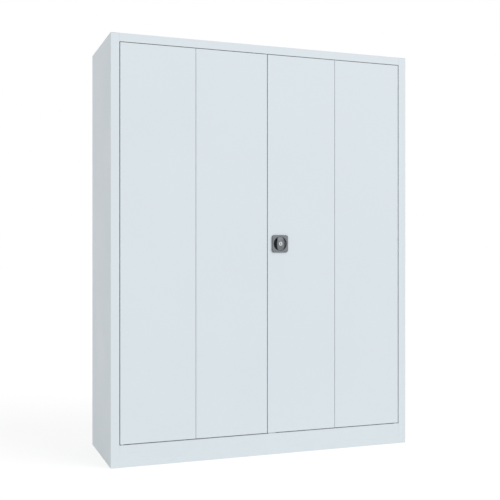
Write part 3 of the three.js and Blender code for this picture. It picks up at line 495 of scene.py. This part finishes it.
def painted_light_and_tone_by_depth(finish, from_mm, to_mm, colour, side=0.0):
    """Blends another colour into a finish of the lock between two depths on its axis, for painted shade,
    painted light and tones.

    With side at 1 it does so only on the lock's right, as painted light where the light would reach into
    the cup.
    """
    tree = finish.node_tree
    shader = tree.nodes["Principled BSDF"]
    mask = use(tree, painted_light_and_tone_group, From_mm=from_mm, To_mm=to_mm, Side=side).outputs["Mask"]
    plain = shader.inputs["Base Color"].links[0].from_socket
    join_up(tree, shader.inputs["Base Color"], blend_colours(tree, mask, plain, colour))
    if shader.inputs["Metallic"].default_value > 0:
        join_up(tree, shader.inputs["Metallic"], ramp(tree, mask, 0.0, 1.0, 1.0, 0.0))


ZINC_GREY, STEEL_GREY, CHROME_GREY = linear(196, 199, 203), linear(168, 171, 174), linear(212, 214, 217)
KEYWAY_PAINTED_SHADE, KEYWAY_SHADE_DEPTHS = linear(28, 28, 30), (-10.5, -9.5)
metal("zinc", ZINC_GREY, (0.30, 0.48), crystal_mm=3.6, stretch=1.0, depth_mm=0.02, contrast=0.08)
metal("steel", STEEL_GREY, (0.22, 0.38), crystal_mm=0.6, stretch=14.0, depth_mm=0.012, contrast=0.06)
metal("chrome", CHROME_GREY, (0.06, 0.14), crystal_mm=0.4, stretch=30.0, depth_mm=0.003, contrast=0.02)
# Painted shade: from about a mm into the key slot the chrome turns black and unmetallic, as the slot's
# shade
painted_light_and_tone_by_depth(finishes["chrome"], *KEYWAY_SHADE_DEPTHS, KEYWAY_PAINTED_SHADE)
print("metals ready")

# %% Nylon and the grey plastic of the lock
PLASTIC_CHANGE, PLASTIC_GLOSS = 0.04, (-0.05, 0.06)


def moulded(name, colour, roughness, grain_mm, depth_mm, dust):
    """Plastic with the fine skin of its mould."""
    finish, tree, shader = blank_finish(name)
    skin = use(tree, skin_group, Grain_mm=grain_mm)
    darker, lighter = shades(colour, PLASTIC_CHANGE)
    body = blend_colours(tree, skin.outputs["Tone"], darker, lighter)
    veil = use(tree, dust_group, Amount=dust)
    body = blend_colours(tree, veil.outputs["Mask"], body, DUST_ON_PLASTIC)
    join_up(tree, shader.inputs["Base Color"], body)
    low, high = (roughness + change for change in PLASTIC_GLOSS)
    gloss = ramp(tree, skin.outputs["Tone"], *MIDDLE_TONES, low, high)
    relief = relief_from(tree, skin.outputs["Height"], strength=0.4, depth_mm=depth_mm)
    join_up(tree, shader.inputs["Roughness"], gloss)
    join_up(tree, shader.inputs["Normal"], relief)
    finishes[name] = finish


NYLON_WHITE, LOCK_GREY = linear(232, 233, 230), linear(117, 122, 127)
moulded("nylon", NYLON_WHITE, roughness=0.5, grain_mm=0.8, depth_mm=0.02, dust=0.1)
moulded("dark_plastic", LOCK_GREY, roughness=0.46, grain_mm=0.45, depth_mm=0.02, dust=0.2)
# For each tone: where it starts and where it is full, in mm of depth, its colour, and its side. The
# plate's domed border and everything deeper get painted shade, the inside of the cup darker painted
# shade, the cup's right side painted light, and the bar's front a slightly darker tone
LOCK_TONES_AND_PAINTED_LIGHT = {
    "front of the bar": (-5.0, -8.5, linear(112, 116, 120), 0.0),
    "painted shade on the plate's border": (-4.24, -3.7, linear(74, 78, 82), 0.0),
    "painted shade inside the cup": (-2.0, 6.5, linear(36, 38, 40), 0.0),
    "painted light on the cup's right side": (-2.0, 3.0, linear(146, 150, 154), 1.0),
}
for from_mm, to_mm, tone, side in LOCK_TONES_AND_PAINTED_LIGHT.values():
    painted_light_and_tone_by_depth(finishes["dark_plastic"], from_mm, to_mm, tone, side)
print("finishes:", sorted(finishes))

# %% [markdown]
# Rounded edges on the solids
#
# Folded sheet has no knife edges: every bend and cut edge catches a thin line of light. The
# solids arrive as loose triangles with sharp corners, so each gets four modifiers: one that
# joins the triangles again, a small bevel on real corners only, one that smooths what is left
# by angle, and one that keeps wide faces flat in the light. Modifiers leave the measured mesh
# itself as it is.

# %% Two small modifier groups: mend the facets, and smooth by angle
def shape_group(name):
    """An empty group for a modifier: a shape goes in and a shape comes out."""
    group = bpy.data.node_groups.new(name, "GeometryNodeTree")
    group.interface.new_socket("Geometry", in_out="INPUT", socket_type="NodeSocketGeometry")
    group.interface.new_socket("Geometry", in_out="OUTPUT", socket_type="NodeSocketGeometry")
    return group, group.nodes.new("NodeGroupInput"), group.nodes.new("NodeGroupOutput")


SAME_POINT = 0.00001
SMOOTH_BELOW, CORNER_ABOVE = math.radians(32), math.radians(50)
mend_facets, given, wanted = shape_group("Mend facets")
merge = add(mend_facets, "GeometryNodeMergeByDistance", Distance=SAME_POINT)
forget = add(mend_facets, "GeometryNodeRemoveAttribute", Name="custom_normal")
mend_facets.links.new(given.outputs[0], merge.inputs["Geometry"])
mend_facets.links.new(merge.outputs[0], forget.inputs["Geometry"])
mend_facets.links.new(forget.outputs[0], wanted.inputs[0])

smooth_by_angle, given, wanted = shape_group("Smooth by angle")
angle = smooth_by_angle.nodes.new("GeometryNodeInputMeshEdgeAngle")
shallow = sum_of(smooth_by_angle, "LESS_THAN", angle.outputs["Unsigned Angle"], SMOOTH_BELOW)
faces = add(smooth_by_angle, "GeometryNodeSetShadeSmooth", {"domain": "FACE"})
edges = add(smooth_by_angle, "GeometryNodeSetShadeSmooth", {"domain": "EDGE"})
smooth_by_angle.links.new(given.outputs[0], faces.inputs["Geometry"])
smooth_by_angle.links.new(faces.outputs[0], edges.inputs["Geometry"])
join_up(smooth_by_angle, edges.inputs["Shade Smooth"], shallow)
smooth_by_angle.links.new(edges.outputs[0], wanted.inputs[0])
print("modifier groups:", mend_facets.name, "and", smooth_by_angle.name)

# %% Give every solid its finish and its edges
EDGE_OF_FINISH = {"body_paint": 0.45, "door_paint": 0.45, "shelf_paint": 0.4, "zinc": 0.3}
EDGE_OF_SOLID = {"lock_case": 0.4, "top_guide_rail": 0.35}
OTHER_EDGE = 0.2
for node_name, solid in frame["nodes"].items():
    slot_name = solid.material_slots[0].material.name
    solid.material_slots[0].material = finishes[slot_name]
    mend = solid.modifiers.new("mend facets", "NODES")
    mend.node_group = mend_facets
    bevel = solid.modifiers.new("edges", "BEVEL")
    edge = EDGE_OF_SOLID.get(node_name, EDGE_OF_FINISH.get(slot_name, OTHER_EDGE))
    bevel.width = edge * MM
    bevel.segments = 2
    bevel.limit_method = "ANGLE"
    bevel.angle_limit = CORNER_ABOVE
    smooth = solid.modifiers.new("smooth by angle", "NODES")
    smooth.node_group = smooth_by_angle
    flat = solid.modifiers.new("keep flats flat", "WEIGHTED_NORMAL")
    flat.keep_sharp = True
    flat.weight = 100
print("solids with finish and edges:", len(frame["nodes"]))

# %% [markdown]
# Shapes from rings
#
# The lock's visible parts are all round or nearly round: a cup, a grip bar, a cylinder, a plug
# and a plate with a round hole. One helper makes them all: it lays rings of points around an
# axis, each with a radius and a depth, and skins them. A radius may change with the angle,
# which gives the rounded square of the plate and the bulging bar of the grip.

# %% Skin a stack of rings
def ringed(rings, steps=144, axis="Y", closed=False, into=None, at=(0, 0, 0)):
    """Skins rings of (radius, place) in mm around an axis and closes both ends.

    A radius may be a function of the angle, a place a function of the angle and the radius.
    A closed stack joins its last ring to its first, for shapes with a hole through them.
    With into, the shape joins a mesh that is there already; at moves it, in mm.
    """
    mesh = into or bmesh.new()
    rows = []
    for radius, place in rings:
        row = []
        for i in range(steps):
            turn = 2 * math.pi * i / steps
            r = radius(turn) if callable(radius) else radius
            along = place(turn, r) if callable(place) else place
            across, up = r * math.cos(turn), r * math.sin(turn)
            point = (across, along, up) if axis == "Y" else (across, up, along)
            row.append(mesh.verts.new((Vector(point) + Vector(at)) * MM))
        rows.append(row)
    if closed:
        rows.append(rows[0])
    made = []
    for before, after in zip(rows, rows[1:]):
        for i in range(steps):
            j = (i + 1) % steps
            made.append(mesh.faces.new((before[i], before[j], after[j], after[i])))
    if not closed:
        made += [mesh.faces.new(rows[0]), mesh.faces.new(rows[-1])]
    bmesh.ops.recalc_face_normals(mesh, faces=made)
    return mesh


def rounding(radius, along, size, turn_from, turn_to, steps=5):
    """Points of (radius, place) on a quarter round, for one edge of a profile."""
    points = []
    for i in range(steps + 1):
        turn = math.radians(turn_from + (turn_to - turn_from) * i / steps)
        points.append((radius + size * math.cos(turn), along + size * math.sin(turn)))
    return points


def piece(name, mesh, body, slot_name, at=(0, 0, 0), stands_for=(), sharp=40):
    """Makes an object of a mesh, gives it its finish and lets it ride on its body."""
    data = bpy.data.meshes.new(name)
    mesh.to_mesh(data)
    mesh.free()
    data.polygons.foreach_set("use_smooth", [True] * len(data.polygons))
    data.set_sharp_from_angle(angle=math.radians(sharp))
    data.materials.append(finishes[slot_name])
    made = bpy.data.objects.new(name, data)
    made.location = at
    bpy.context.collection.objects.link(made)
    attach(made, body)
    if stands_for:
        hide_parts(*stands_for)
    return made


print("ring helpers ready")

# %% [markdown]
# The lock
#
# A square cover plate with rounded corners is let into the door. In its round opening sits a
# cup with a grip bar across it; a key cylinder stands out of the bar's middle. The plate has a
# domed border and the bar slopes back to the plate at both ends, so that only two dark
# crescents are left for the fingers. All of it is rebuilt as rings on the lock's own axis.
# Painted shade darkens the plate's border and the inside of the cup, painted light brightens the cup's
# right side, and the key slot is painted dark.

# %% Outlines around the lock's axis
# Lengths are in mm; depths count from the plane of the side panels' front, into the cabinet
front_corner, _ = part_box("left_side_panel")
low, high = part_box("lock_plate")
LOCK = Vector(((low.x + high.x) / 2, front_corner.y, (low.z + high.z) / 2))
PLATE_FRONT, PLATE_EDGE, PLATE_BACK = -4.25, -1.3, 0.75
PLATE_HALF, PLATE_CORNER, PLATE_HOLE = 41.5, 11.0, 33.5
PLATE_BORDER, PLATE_LIP = 2.0, 0.6
CUP_RADIUS, CUP_WALL, CUP_RIM = 32.75, 1.5, 0.5
CUP_FRONT, CUP_FLOOR, CUP_BACK = -1.75, 10.0, 13.0
CUP_OUTER_CORNER, CUP_INNER_CORNER = 1.65, 2.4
HUB_RADIUS, HUB_BACK, CENTRE_RADIUS = 9.0, 16.4, 2.0
BAR_FRONT = -10.0
BAR_HALF_MIDDLE, BAR_HALF_END, BAR_FLAT_HALF = 17.5, 12.5, 20.0
BAR_EDGE_MIDDLE, BAR_EDGE_END = 2.5, 0.5
BAR_TO_CUP, BAR_CORNER_POWER = 0.5, 20


def squarish(half, corner):
    """Radius of a square with rounded corners, for any angle."""
    straight = half - corner

    def radius(turn):
        c, s = abs(math.cos(turn)), abs(math.sin(turn))
        c, s = max(c, s), min(c, s)
        if half * s / c <= straight:
            return half / c
        along = straight * (c + s)
        return along + math.sqrt(max(along**2 - 2 * straight**2 + corner**2, 0.0))

    return radius


def bar_radius(turn, inset):
    """Radius of the bar: two bulging sides, ended by the cup's circle, with soft corners."""
    bulge = BAR_HALF_MIDDLE - BAR_HALF_END
    side = (CUP_RADIUS**2 + bulge**2) / (2 * bulge)
    centre = BAR_HALF_MIDDLE - side
    c, s = abs(math.cos(turn)), math.sin(turn)
    to_side = centre * c + math.sqrt(max((side - inset) ** 2 - (centre * s) ** 2, 0.0))
    to_cup = CUP_RADIUS - max(inset, BAR_TO_CUP)
    power = BAR_CORNER_POWER
    return (to_side**-power + to_cup**-power) ** (-1 / power)


def bar_front(turn, radius):
    """Depth of the bar's front: level in the middle, sloping back to the plate at the ends."""
    beyond = abs(radius * math.sin(turn)) - BAR_FLAT_HALF
    along = min(max(beyond / (CUP_RADIUS - BAR_FLAT_HALF), 0.0), 1.0)
    return BAR_FRONT + (PLATE_FRONT - BAR_FRONT) * (1 - math.cos(math.pi * along)) / 2


def bar_edge(turn):
    """Size of the rounding along the bar's front edge, smaller at the ends."""
    return BAR_EDGE_END + (BAR_EDGE_MIDDLE - BAR_EDGE_END) * math.cos(turn) ** 2


print("lock axis at", [round(v / MM, 2) for v in LOCK], "mm")
print("bar half-width in the middle:", round(bar_radius(0, 0), 2), "mm")

# %% Cover plate with a domed border
plate_rings = [(PLATE_HOLE, PLATE_BACK)]
plate_rings += rounding(PLATE_HOLE + PLATE_LIP, PLATE_FRONT + PLATE_LIP, PLATE_LIP, 180, 270, steps=4)
for degrees in range(90, -1, -18):
    t = math.radians(degrees)
    inset = PLATE_BORDER * (1 - math.cos(t))
    rise = (PLATE_EDGE - PLATE_FRONT) * math.sin(t)
    plate_rings.append((squarish(PLATE_HALF - inset, PLATE_CORNER - inset), PLATE_EDGE - rise))
plate_rings.append((squarish(PLATE_HALF, PLATE_CORNER), PLATE_BACK))
plate = ringed(plate_rings, steps=192, closed=True)
piece("cover_plate", plate, "right_inner_door", "dark_plastic", LOCK, ["lock_plate"])
print("cover plate rings:", len(plate_rings))

# %% Cup of the turn handle, with the hub behind it
cup_rings = [(HUB_RADIUS, HUB_BACK), (HUB_RADIUS, CUP_BACK)]
corner = CUP_OUTER_CORNER
cup_rings += rounding(CUP_RADIUS - corner, CUP_BACK - corner, corner, 90, 0)
rim_depth = CUP_FRONT + CUP_RIM
cup_rings += rounding(CUP_RADIUS - CUP_RIM, rim_depth, CUP_RIM, 0, -90, steps=3)
cup_rings += rounding(CUP_RADIUS - CUP_WALL + CUP_RIM, rim_depth, CUP_RIM, -90, -180, steps=3)
corner = CUP_INNER_CORNER
cup_rings += rounding(CUP_RADIUS - CUP_WALL - corner, CUP_FLOOR - corner, corner, 0, 90)
cup_rings += [(HUB_RADIUS, CUP_FLOOR), (CENTRE_RADIUS, CUP_FLOOR)]
handle = ringed(cup_rings)
print("cup rings:", len(cup_rings))

# %% Grip bar of the turn handle, with the hole for the key cylinder
BARREL_RADIUS, BARREL_FRONT, BARREL_BACK = 9.5, -11.0, 9.5
BAR_HOLE, BAR_HOLE_EDGE, BAR_HOLE_BORDER = 9.75, 0.4, 1.25
BAR_FOOT, BAR_SUNK = 2.2, 0.4
BAR_INNER_RINGS = (3.2, 1.6)


def bar_ring(down, inward, extra=0.0):
    """A ring of the bar: down from its front and in from its side, in shares of its edge.

    With extra it lies that many mm further in.
    """
    def radius(turn):
        return bar_radius(turn, bar_edge(turn) * inward + extra)

    def place(turn, r):
        return bar_front(turn, r) + bar_edge(turn) * down

    return radius, place


bar_rings = [(BAR_HOLE, BARREL_BACK), (BAR_HOLE, BAR_FRONT + BAR_HOLE_EDGE)]
bar_rings += [(BAR_HOLE + BAR_HOLE_EDGE, BAR_FRONT), (BAR_HOLE + BAR_HOLE_BORDER, BAR_FRONT)]
bar_rings += [bar_ring(0, 1, extra) for extra in BAR_INNER_RINGS]
for degrees in range(0, 91, 15):
    t = math.radians(degrees)
    bar_rings.append(bar_ring(1 - math.cos(t), 1 - math.sin(t)))
for degrees in range(0, 91, 30):
    t = math.radians(degrees)
    foot = BAR_FOOT * (1 - math.cos(t))
    depth = CUP_FLOOR - BAR_FOOT + BAR_FOOT * math.sin(t)
    bar_rings.append((lambda turn, foot=foot: bar_radius(turn, -foot), depth))
bar_rings.append((BAR_HOLE, CUP_FLOOR + BAR_SUNK))
ringed(bar_rings, steps=288, closed=True, into=handle)
piece("grip_and_cup", handle, "handle", "dark_plastic", LOCK, ["turn_handle"], sharp=50)
print("bar rings:", len(bar_rings))

# %% Key cylinder and plug
BARREL_EDGE, BARREL_HOLE, HOLE_WIDER, HOLE_DEEPER = 0.8, 6.1, 0.3, 0.4
PLUG_RADIUS, PLUG_FRONT, PLUG_EDGE = 6.0, -10.75, 0.4
SLOT_HALF, SLOT_UP, SLOT_DOWN = 1.5, 3.9, 4.5
SLOT_EDGE, SLOT_FLOOR = 0.35, -1.75

barrel_rings = [(BARREL_HOLE, BARREL_BACK), (BARREL_HOLE, BARREL_FRONT + HOLE_DEEPER)]
barrel_rings.append((BARREL_HOLE + HOLE_WIDER, BARREL_FRONT))
barrel_rings += rounding(BARREL_RADIUS - BARREL_EDGE, BARREL_FRONT + BARREL_EDGE, BARREL_EDGE, -90, 0)
barrel_rings.append((BARREL_RADIUS, BARREL_BACK))
barrel = ringed(barrel_rings, steps=96, closed=True)
piece("cylinder_rim", barrel, "handle", "chrome", LOCK, ["cylinder_barrel"])


def keyway(turn, wider=0.0):
    """Radius of the upright key slot, for any angle."""
    almost_zero = 1e-6
    c, s = abs(math.cos(turn)), math.sin(turn)
    end = SLOT_UP if s > 0 else SLOT_DOWN
    return min((SLOT_HALF + wider) / max(c, almost_zero), (end + wider) / max(abs(s), almost_zero))


plug_rings = [(keyway, SLOT_FLOOR), (keyway, PLUG_FRONT + SLOT_EDGE)]
plug_rings.append((lambda turn: keyway(turn, SLOT_EDGE), PLUG_FRONT))
plug_rings += [(PLUG_RADIUS - PLUG_EDGE, PLUG_FRONT), (PLUG_RADIUS, PLUG_FRONT + PLUG_EDGE)]
plug_rings.append((PLUG_RADIUS, BARREL_BACK))
plug = ringed(plug_rings, steps=240)
piece("key_plug_face", plug, "key", "chrome", LOCK, ["key_plug"])
print("cylinder and plug made")

# %% [markdown]
# Rivets and weld marks
#
# Sheet parts are held by blind rivets and spot welds. A blind rivet shows a low dome with the
# stub of its mandrel in a small hole; a spot weld leaves a shallow ring in the paint. Both are
# tiny ring stacks, laid out along the real seams of each door. What is alike and moves with the
# same body is one mesh.

# %% Lay out one small shape many times
DOORS = ["left_outer", "left_inner", "right_inner", "right_outer"]
# Rings as (radius, height): a rivet's head in shares of its radius, a weld mark in mm
HEAD_SHARES = [
    (1, -0.05), (1, 0.08), (0.94, 0.17), (0.75, 0.27),
    (0.5, 0.32), (0.36, 0.32), (0.32, 0.2), (0.12, 0.22),
]
WELD = [(3.0, -0.05), (2.9, 0.06), (2.6, 0.13), (2.3, 0.12), (1.9, 0.04), (0.4, 0.03)]
DOOR_BOTTOM, DOOR_TOP = (corner.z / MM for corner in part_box("left_outer_panel"))
SEAM_BOTTOM, SEAM_TOP = (corner.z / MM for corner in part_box("left_hinge_outer_leaf"))


def repeated(name, rings, spots, body, slot_name, axis="Y", steps=20):
    """The same ring stack at every spot, as one piece."""
    mesh = bmesh.new()
    for spot in spots:
        ringed(rings, steps, axis, into=mesh, at=spot)
    return piece(name, mesh, body, slot_name, sharp=35)


def rivet(radius, facing=1):
    """Profile of a blind rivet's head with the stub of its mandrel."""
    return [(radius * r, facing * radius * up) for r, up in HEAD_SHARES]


def row_of_heights(count):
    """Heights in mm, evenly spread over the length of a seam."""
    step = (SEAM_TOP - SEAM_BOTTOM) / count
    return [SEAM_BOTTOM + step * (i + 0.5) for i in range(count)]


print("seams run over", round(SEAM_TOP - SEAM_BOTTOM, 1), "mm of a door")

# %% Weld marks on the hinge leaves, the stiffeners and the closing strip
# How far in from the edge of its sheet each row runs, and how thick the sheets are, in mm
LEAF_WELD_IN, STIFFENER_WELD_IN, STRIP_WELD_IN = 6.5, 5.5, 10.0
LEAF_SHEET, STIFFENER_SHEET, STRIP_SHEET = 1.5, 1.0, 1.5
LEAF_WELDS, STIFFENER_WELDS = 15, 12
for door in DOORS:
    side, which = door.split("_")
    low, high = (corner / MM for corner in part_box(f"{side}_hinge_{which}_leaf"))
    x = low.x + LEAF_WELD_IN if door in ("left_outer", "right_inner") else high.x - LEAF_WELD_IN
    spots = [(x, low.y + LEAF_SHEET, z) for z in row_of_heights(LEAF_WELDS)]
    low, high = (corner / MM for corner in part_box(f"{door}_stiffener"))
    for x in (low.x + STIFFENER_WELD_IN, high.x - STIFFENER_WELD_IN):
        spots += [(x, low.y + STIFFENER_SHEET, z) for z in row_of_heights(STIFFENER_WELDS)]
    if door == "left_inner":
        low, high = (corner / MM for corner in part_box("closing_strip"))
        x, y = low.x + STRIP_WELD_IN, low.y + STRIP_SHEET
        spots += [(x, y, z) for z in row_of_heights(LEAF_WELDS)]
    repeated(f"{door}_weld_marks", WELD, spots, f"{door}_door", "door_paint")
    print(door, "weld marks:", len(spots))

# %% Rivets of the lock case and the rod guides
CASE_RIVET, CASE_IN_X, CASE_IN_Z, CASE_SHEET = 2.8, 4.0, 12.0, 1.5
GUIDE_RIVET, GUIDE_IN_X = 1.8, 2.5
low, high = (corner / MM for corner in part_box("lock_case"))
case_spots = [
    (x, low.y + CASE_SHEET, z)
    for x in (low.x + CASE_IN_X, high.x - CASE_IN_X)
    for z in (low.z + CASE_IN_Z, high.z - CASE_IN_Z)
]
repeated("lock_case_rivets", rivet(CASE_RIVET), case_spots, "right_inner_door", "steel")
guide_spots = []
for guide in ("lower_rod_guide", "upper_rod_guide"):
    low, high = (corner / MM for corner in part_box(guide))
    for x in (low.x + GUIDE_IN_X, high.x - GUIDE_IN_X):
        guide_spots.append((x, high.y, (low.z + high.z) / 2))
repeated("rod_guide_rivets", rivet(GUIDE_RIVET), guide_spots, "right_inner_door", "steel")
print("rivets of the lock:", len(case_spots) + len(guide_spots))

# %% Rivets of the guide blocks and the pivot blocks, in the ends of the doors
BLOCK_RIVET = 2.2
# The block in each kind of panel, and how far outward of its middle the rivet sits, in mm
BLOCKS = {"inner": ("guide_bracket", 7.75), "outer": ("top_pivot_pin", -7.25)}
for door in DOORS:
    side, which = door.split("_")
    outward = -1 if side == "left" else 1
    block, offset = BLOCKS[which]
    low, high = (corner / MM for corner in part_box(f"{side}_{block}"))
    x, y = (low.x + high.x) / 2 + outward * offset, (low.y + high.y) / 2
    top = [(x, y, DOOR_TOP)]
    repeated(f"{door}_top_rivet", rivet(BLOCK_RIVET), top, f"{door}_door", "steel", "Z")
    if which == "outer":
        bottom = [(x, y, DOOR_BOTTOM)]
        repeated(f"{door}_foot_rivet", rivet(BLOCK_RIVET, -1), bottom, f"{door}_door", "steel", "Z")
    print(door, "block rivets at x =", round(x, 2), "mm")

# %% [markdown]
# Closing ramp
#
# A nylon ramp on the sill lifts the leading edge of the door as it closes, and shows as a paler
# stretch in the gap below the doors. It is one outline with a gentle rise, pulled along X, with
# a bevel modifier that rounds its edges as a mould does.

# %% Moulded ramp on the sill
low_corner, high_corner = (Vector(corner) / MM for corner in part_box("closing_ramp"))
ramp_depth, ramp_rise = high_corner.y - low_corner.y, high_corner.z - low_corner.z
RAMP_SHARES = [(0.03, 0), (0.03, 0.16), (0.34, 0.74), (0.62, 0.96), (0.88, 0.66), (0.99, 0.25), (0.99, 0)]
RAMP_SHORTER, RAMP_EDGE = 0.1, 0.3
mesh = bmesh.new()
ends = []
for x in (low_corner.x + RAMP_SHORTER, high_corner.x - RAMP_SHORTER):
    corners = [(x, low_corner.y + ramp_depth * y, low_corner.z + ramp_rise * z) for y, z in RAMP_SHARES]
    ends.append([mesh.verts.new(Vector(corner) * MM) for corner in corners])
for i in range(len(RAMP_SHARES)):
    j = (i + 1) % len(RAMP_SHARES)
    mesh.faces.new((ends[0][i], ends[0][j], ends[1][j], ends[1][i]))
for end in ends:
    mesh.faces.new(end)
bmesh.ops.recalc_face_normals(mesh, faces=mesh.faces[:])
moulded_ramp = piece("moulded_ramp", mesh, "carcass", "nylon", stands_for=["closing_ramp"])
soft = moulded_ramp.modifiers.new("moulded edges", "BEVEL")
soft.width = RAMP_EDGE * MM
soft.segments = 3
print("ramp rises by", round(ramp_rise, 2), "mm over", round(ramp_depth, 2), "mm")

# %% [markdown]
# Levelling feet
#
# Each corner stands on a threaded foot that is turned with a hexagon key through a hole in the
# cabinet floor. A thread is a ring stack too: its radius follows the angle and the height
# together, so the crest climbs by one pitch on each turn.

# %% Outlines of a foot
# Lengths are in mm; heights count from the floor
PITCH, CORE, THREAD_DEPTH = 1.5, 4.2, 0.8
FLANK_STEEPNESS, ROOT_SHARE = 1.3, 0.1
PAD_RADIUS, PAD_LOW, PAD_TOP, PAD_EDGE = 15.0, 0.5, 4.5, 0.8
NUT_HALF, NUT_LOW, NUT_TOP = 6.5, 5.5, 8.4
CONE_RADIUS, CONE_TOP, NECK = 10.0, 5.4, 8.5
THREAD_LOW, THREAD_STEP, THREAD_RINGS, THREAD_END = 9.0, 0.25, 259, 74.2
STEM_TOP, STEM_END, SOCKET_HALF, SOCKET_FLOOR = 75.0, 3.9, 2.5, 67.0
SOCKET_WIDER, SOCKET_EDGE = 0.5, 0.4


def thread(z):
    """Radius of an M10 thread at one height, for any angle."""
    def radius(turn):
        share = (z / PITCH - turn / (2 * math.pi)) % 1
        height = FLANK_STEEPNESS * abs(2 * share - 1) - ROOT_SHARE
        return CORE + THREAD_DEPTH * min(max(height, 0.0), 1.0)

    return radius


def hexagon(half_width):
    """Radius of a hexagon, for any angle."""
    return lambda turn: half_width / math.cos((turn + math.pi / 6) % (math.pi / 3) - math.pi / 6)


pad_round = PAD_RADIUS - PAD_EDGE
foot_rings = rounding(pad_round, PAD_LOW + PAD_EDGE, PAD_EDGE, -90, 0, steps=3)
foot_rings += rounding(pad_round, PAD_TOP - PAD_EDGE, PAD_EDGE, 0, 90, steps=3)
foot_rings += [(CONE_RADIUS, CONE_TOP), (hexagon(NUT_HALF), NUT_LOW), (hexagon(NUT_HALF), NUT_TOP)]
foot_rings.append((CORE, NECK))
for i in range(THREAD_RINGS):
    z = THREAD_LOW + THREAD_STEP * i
    foot_rings.append((thread(z), z))
foot_rings += [(CORE, THREAD_END), (STEM_END, STEM_TOP)]
foot_rings.append((hexagon(SOCKET_HALF + SOCKET_WIDER), STEM_TOP))
foot_rings += [(hexagon(SOCKET_HALF), STEM_TOP - SOCKET_EDGE), (hexagon(SOCKET_HALF), SOCKET_FLOOR)]
print("foot rings:", len(foot_rings))

# %% Threaded feet in the four corners
for side in ("left", "right"):
    for row in ("front", "rear"):
        node = f"{side}_{row}_foot"
        low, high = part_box(node)
        place = Vector(((low.x + high.x) / 2, (low.y + high.y) / 2, 0.0))
        foot = ringed(foot_rings, steps=36, axis="Z")
        piece(f"{node}_threaded", foot, node, "zinc", place, [node], sharp=30)
        print(node, "at", [round(v / MM, 2) for v in place], "mm")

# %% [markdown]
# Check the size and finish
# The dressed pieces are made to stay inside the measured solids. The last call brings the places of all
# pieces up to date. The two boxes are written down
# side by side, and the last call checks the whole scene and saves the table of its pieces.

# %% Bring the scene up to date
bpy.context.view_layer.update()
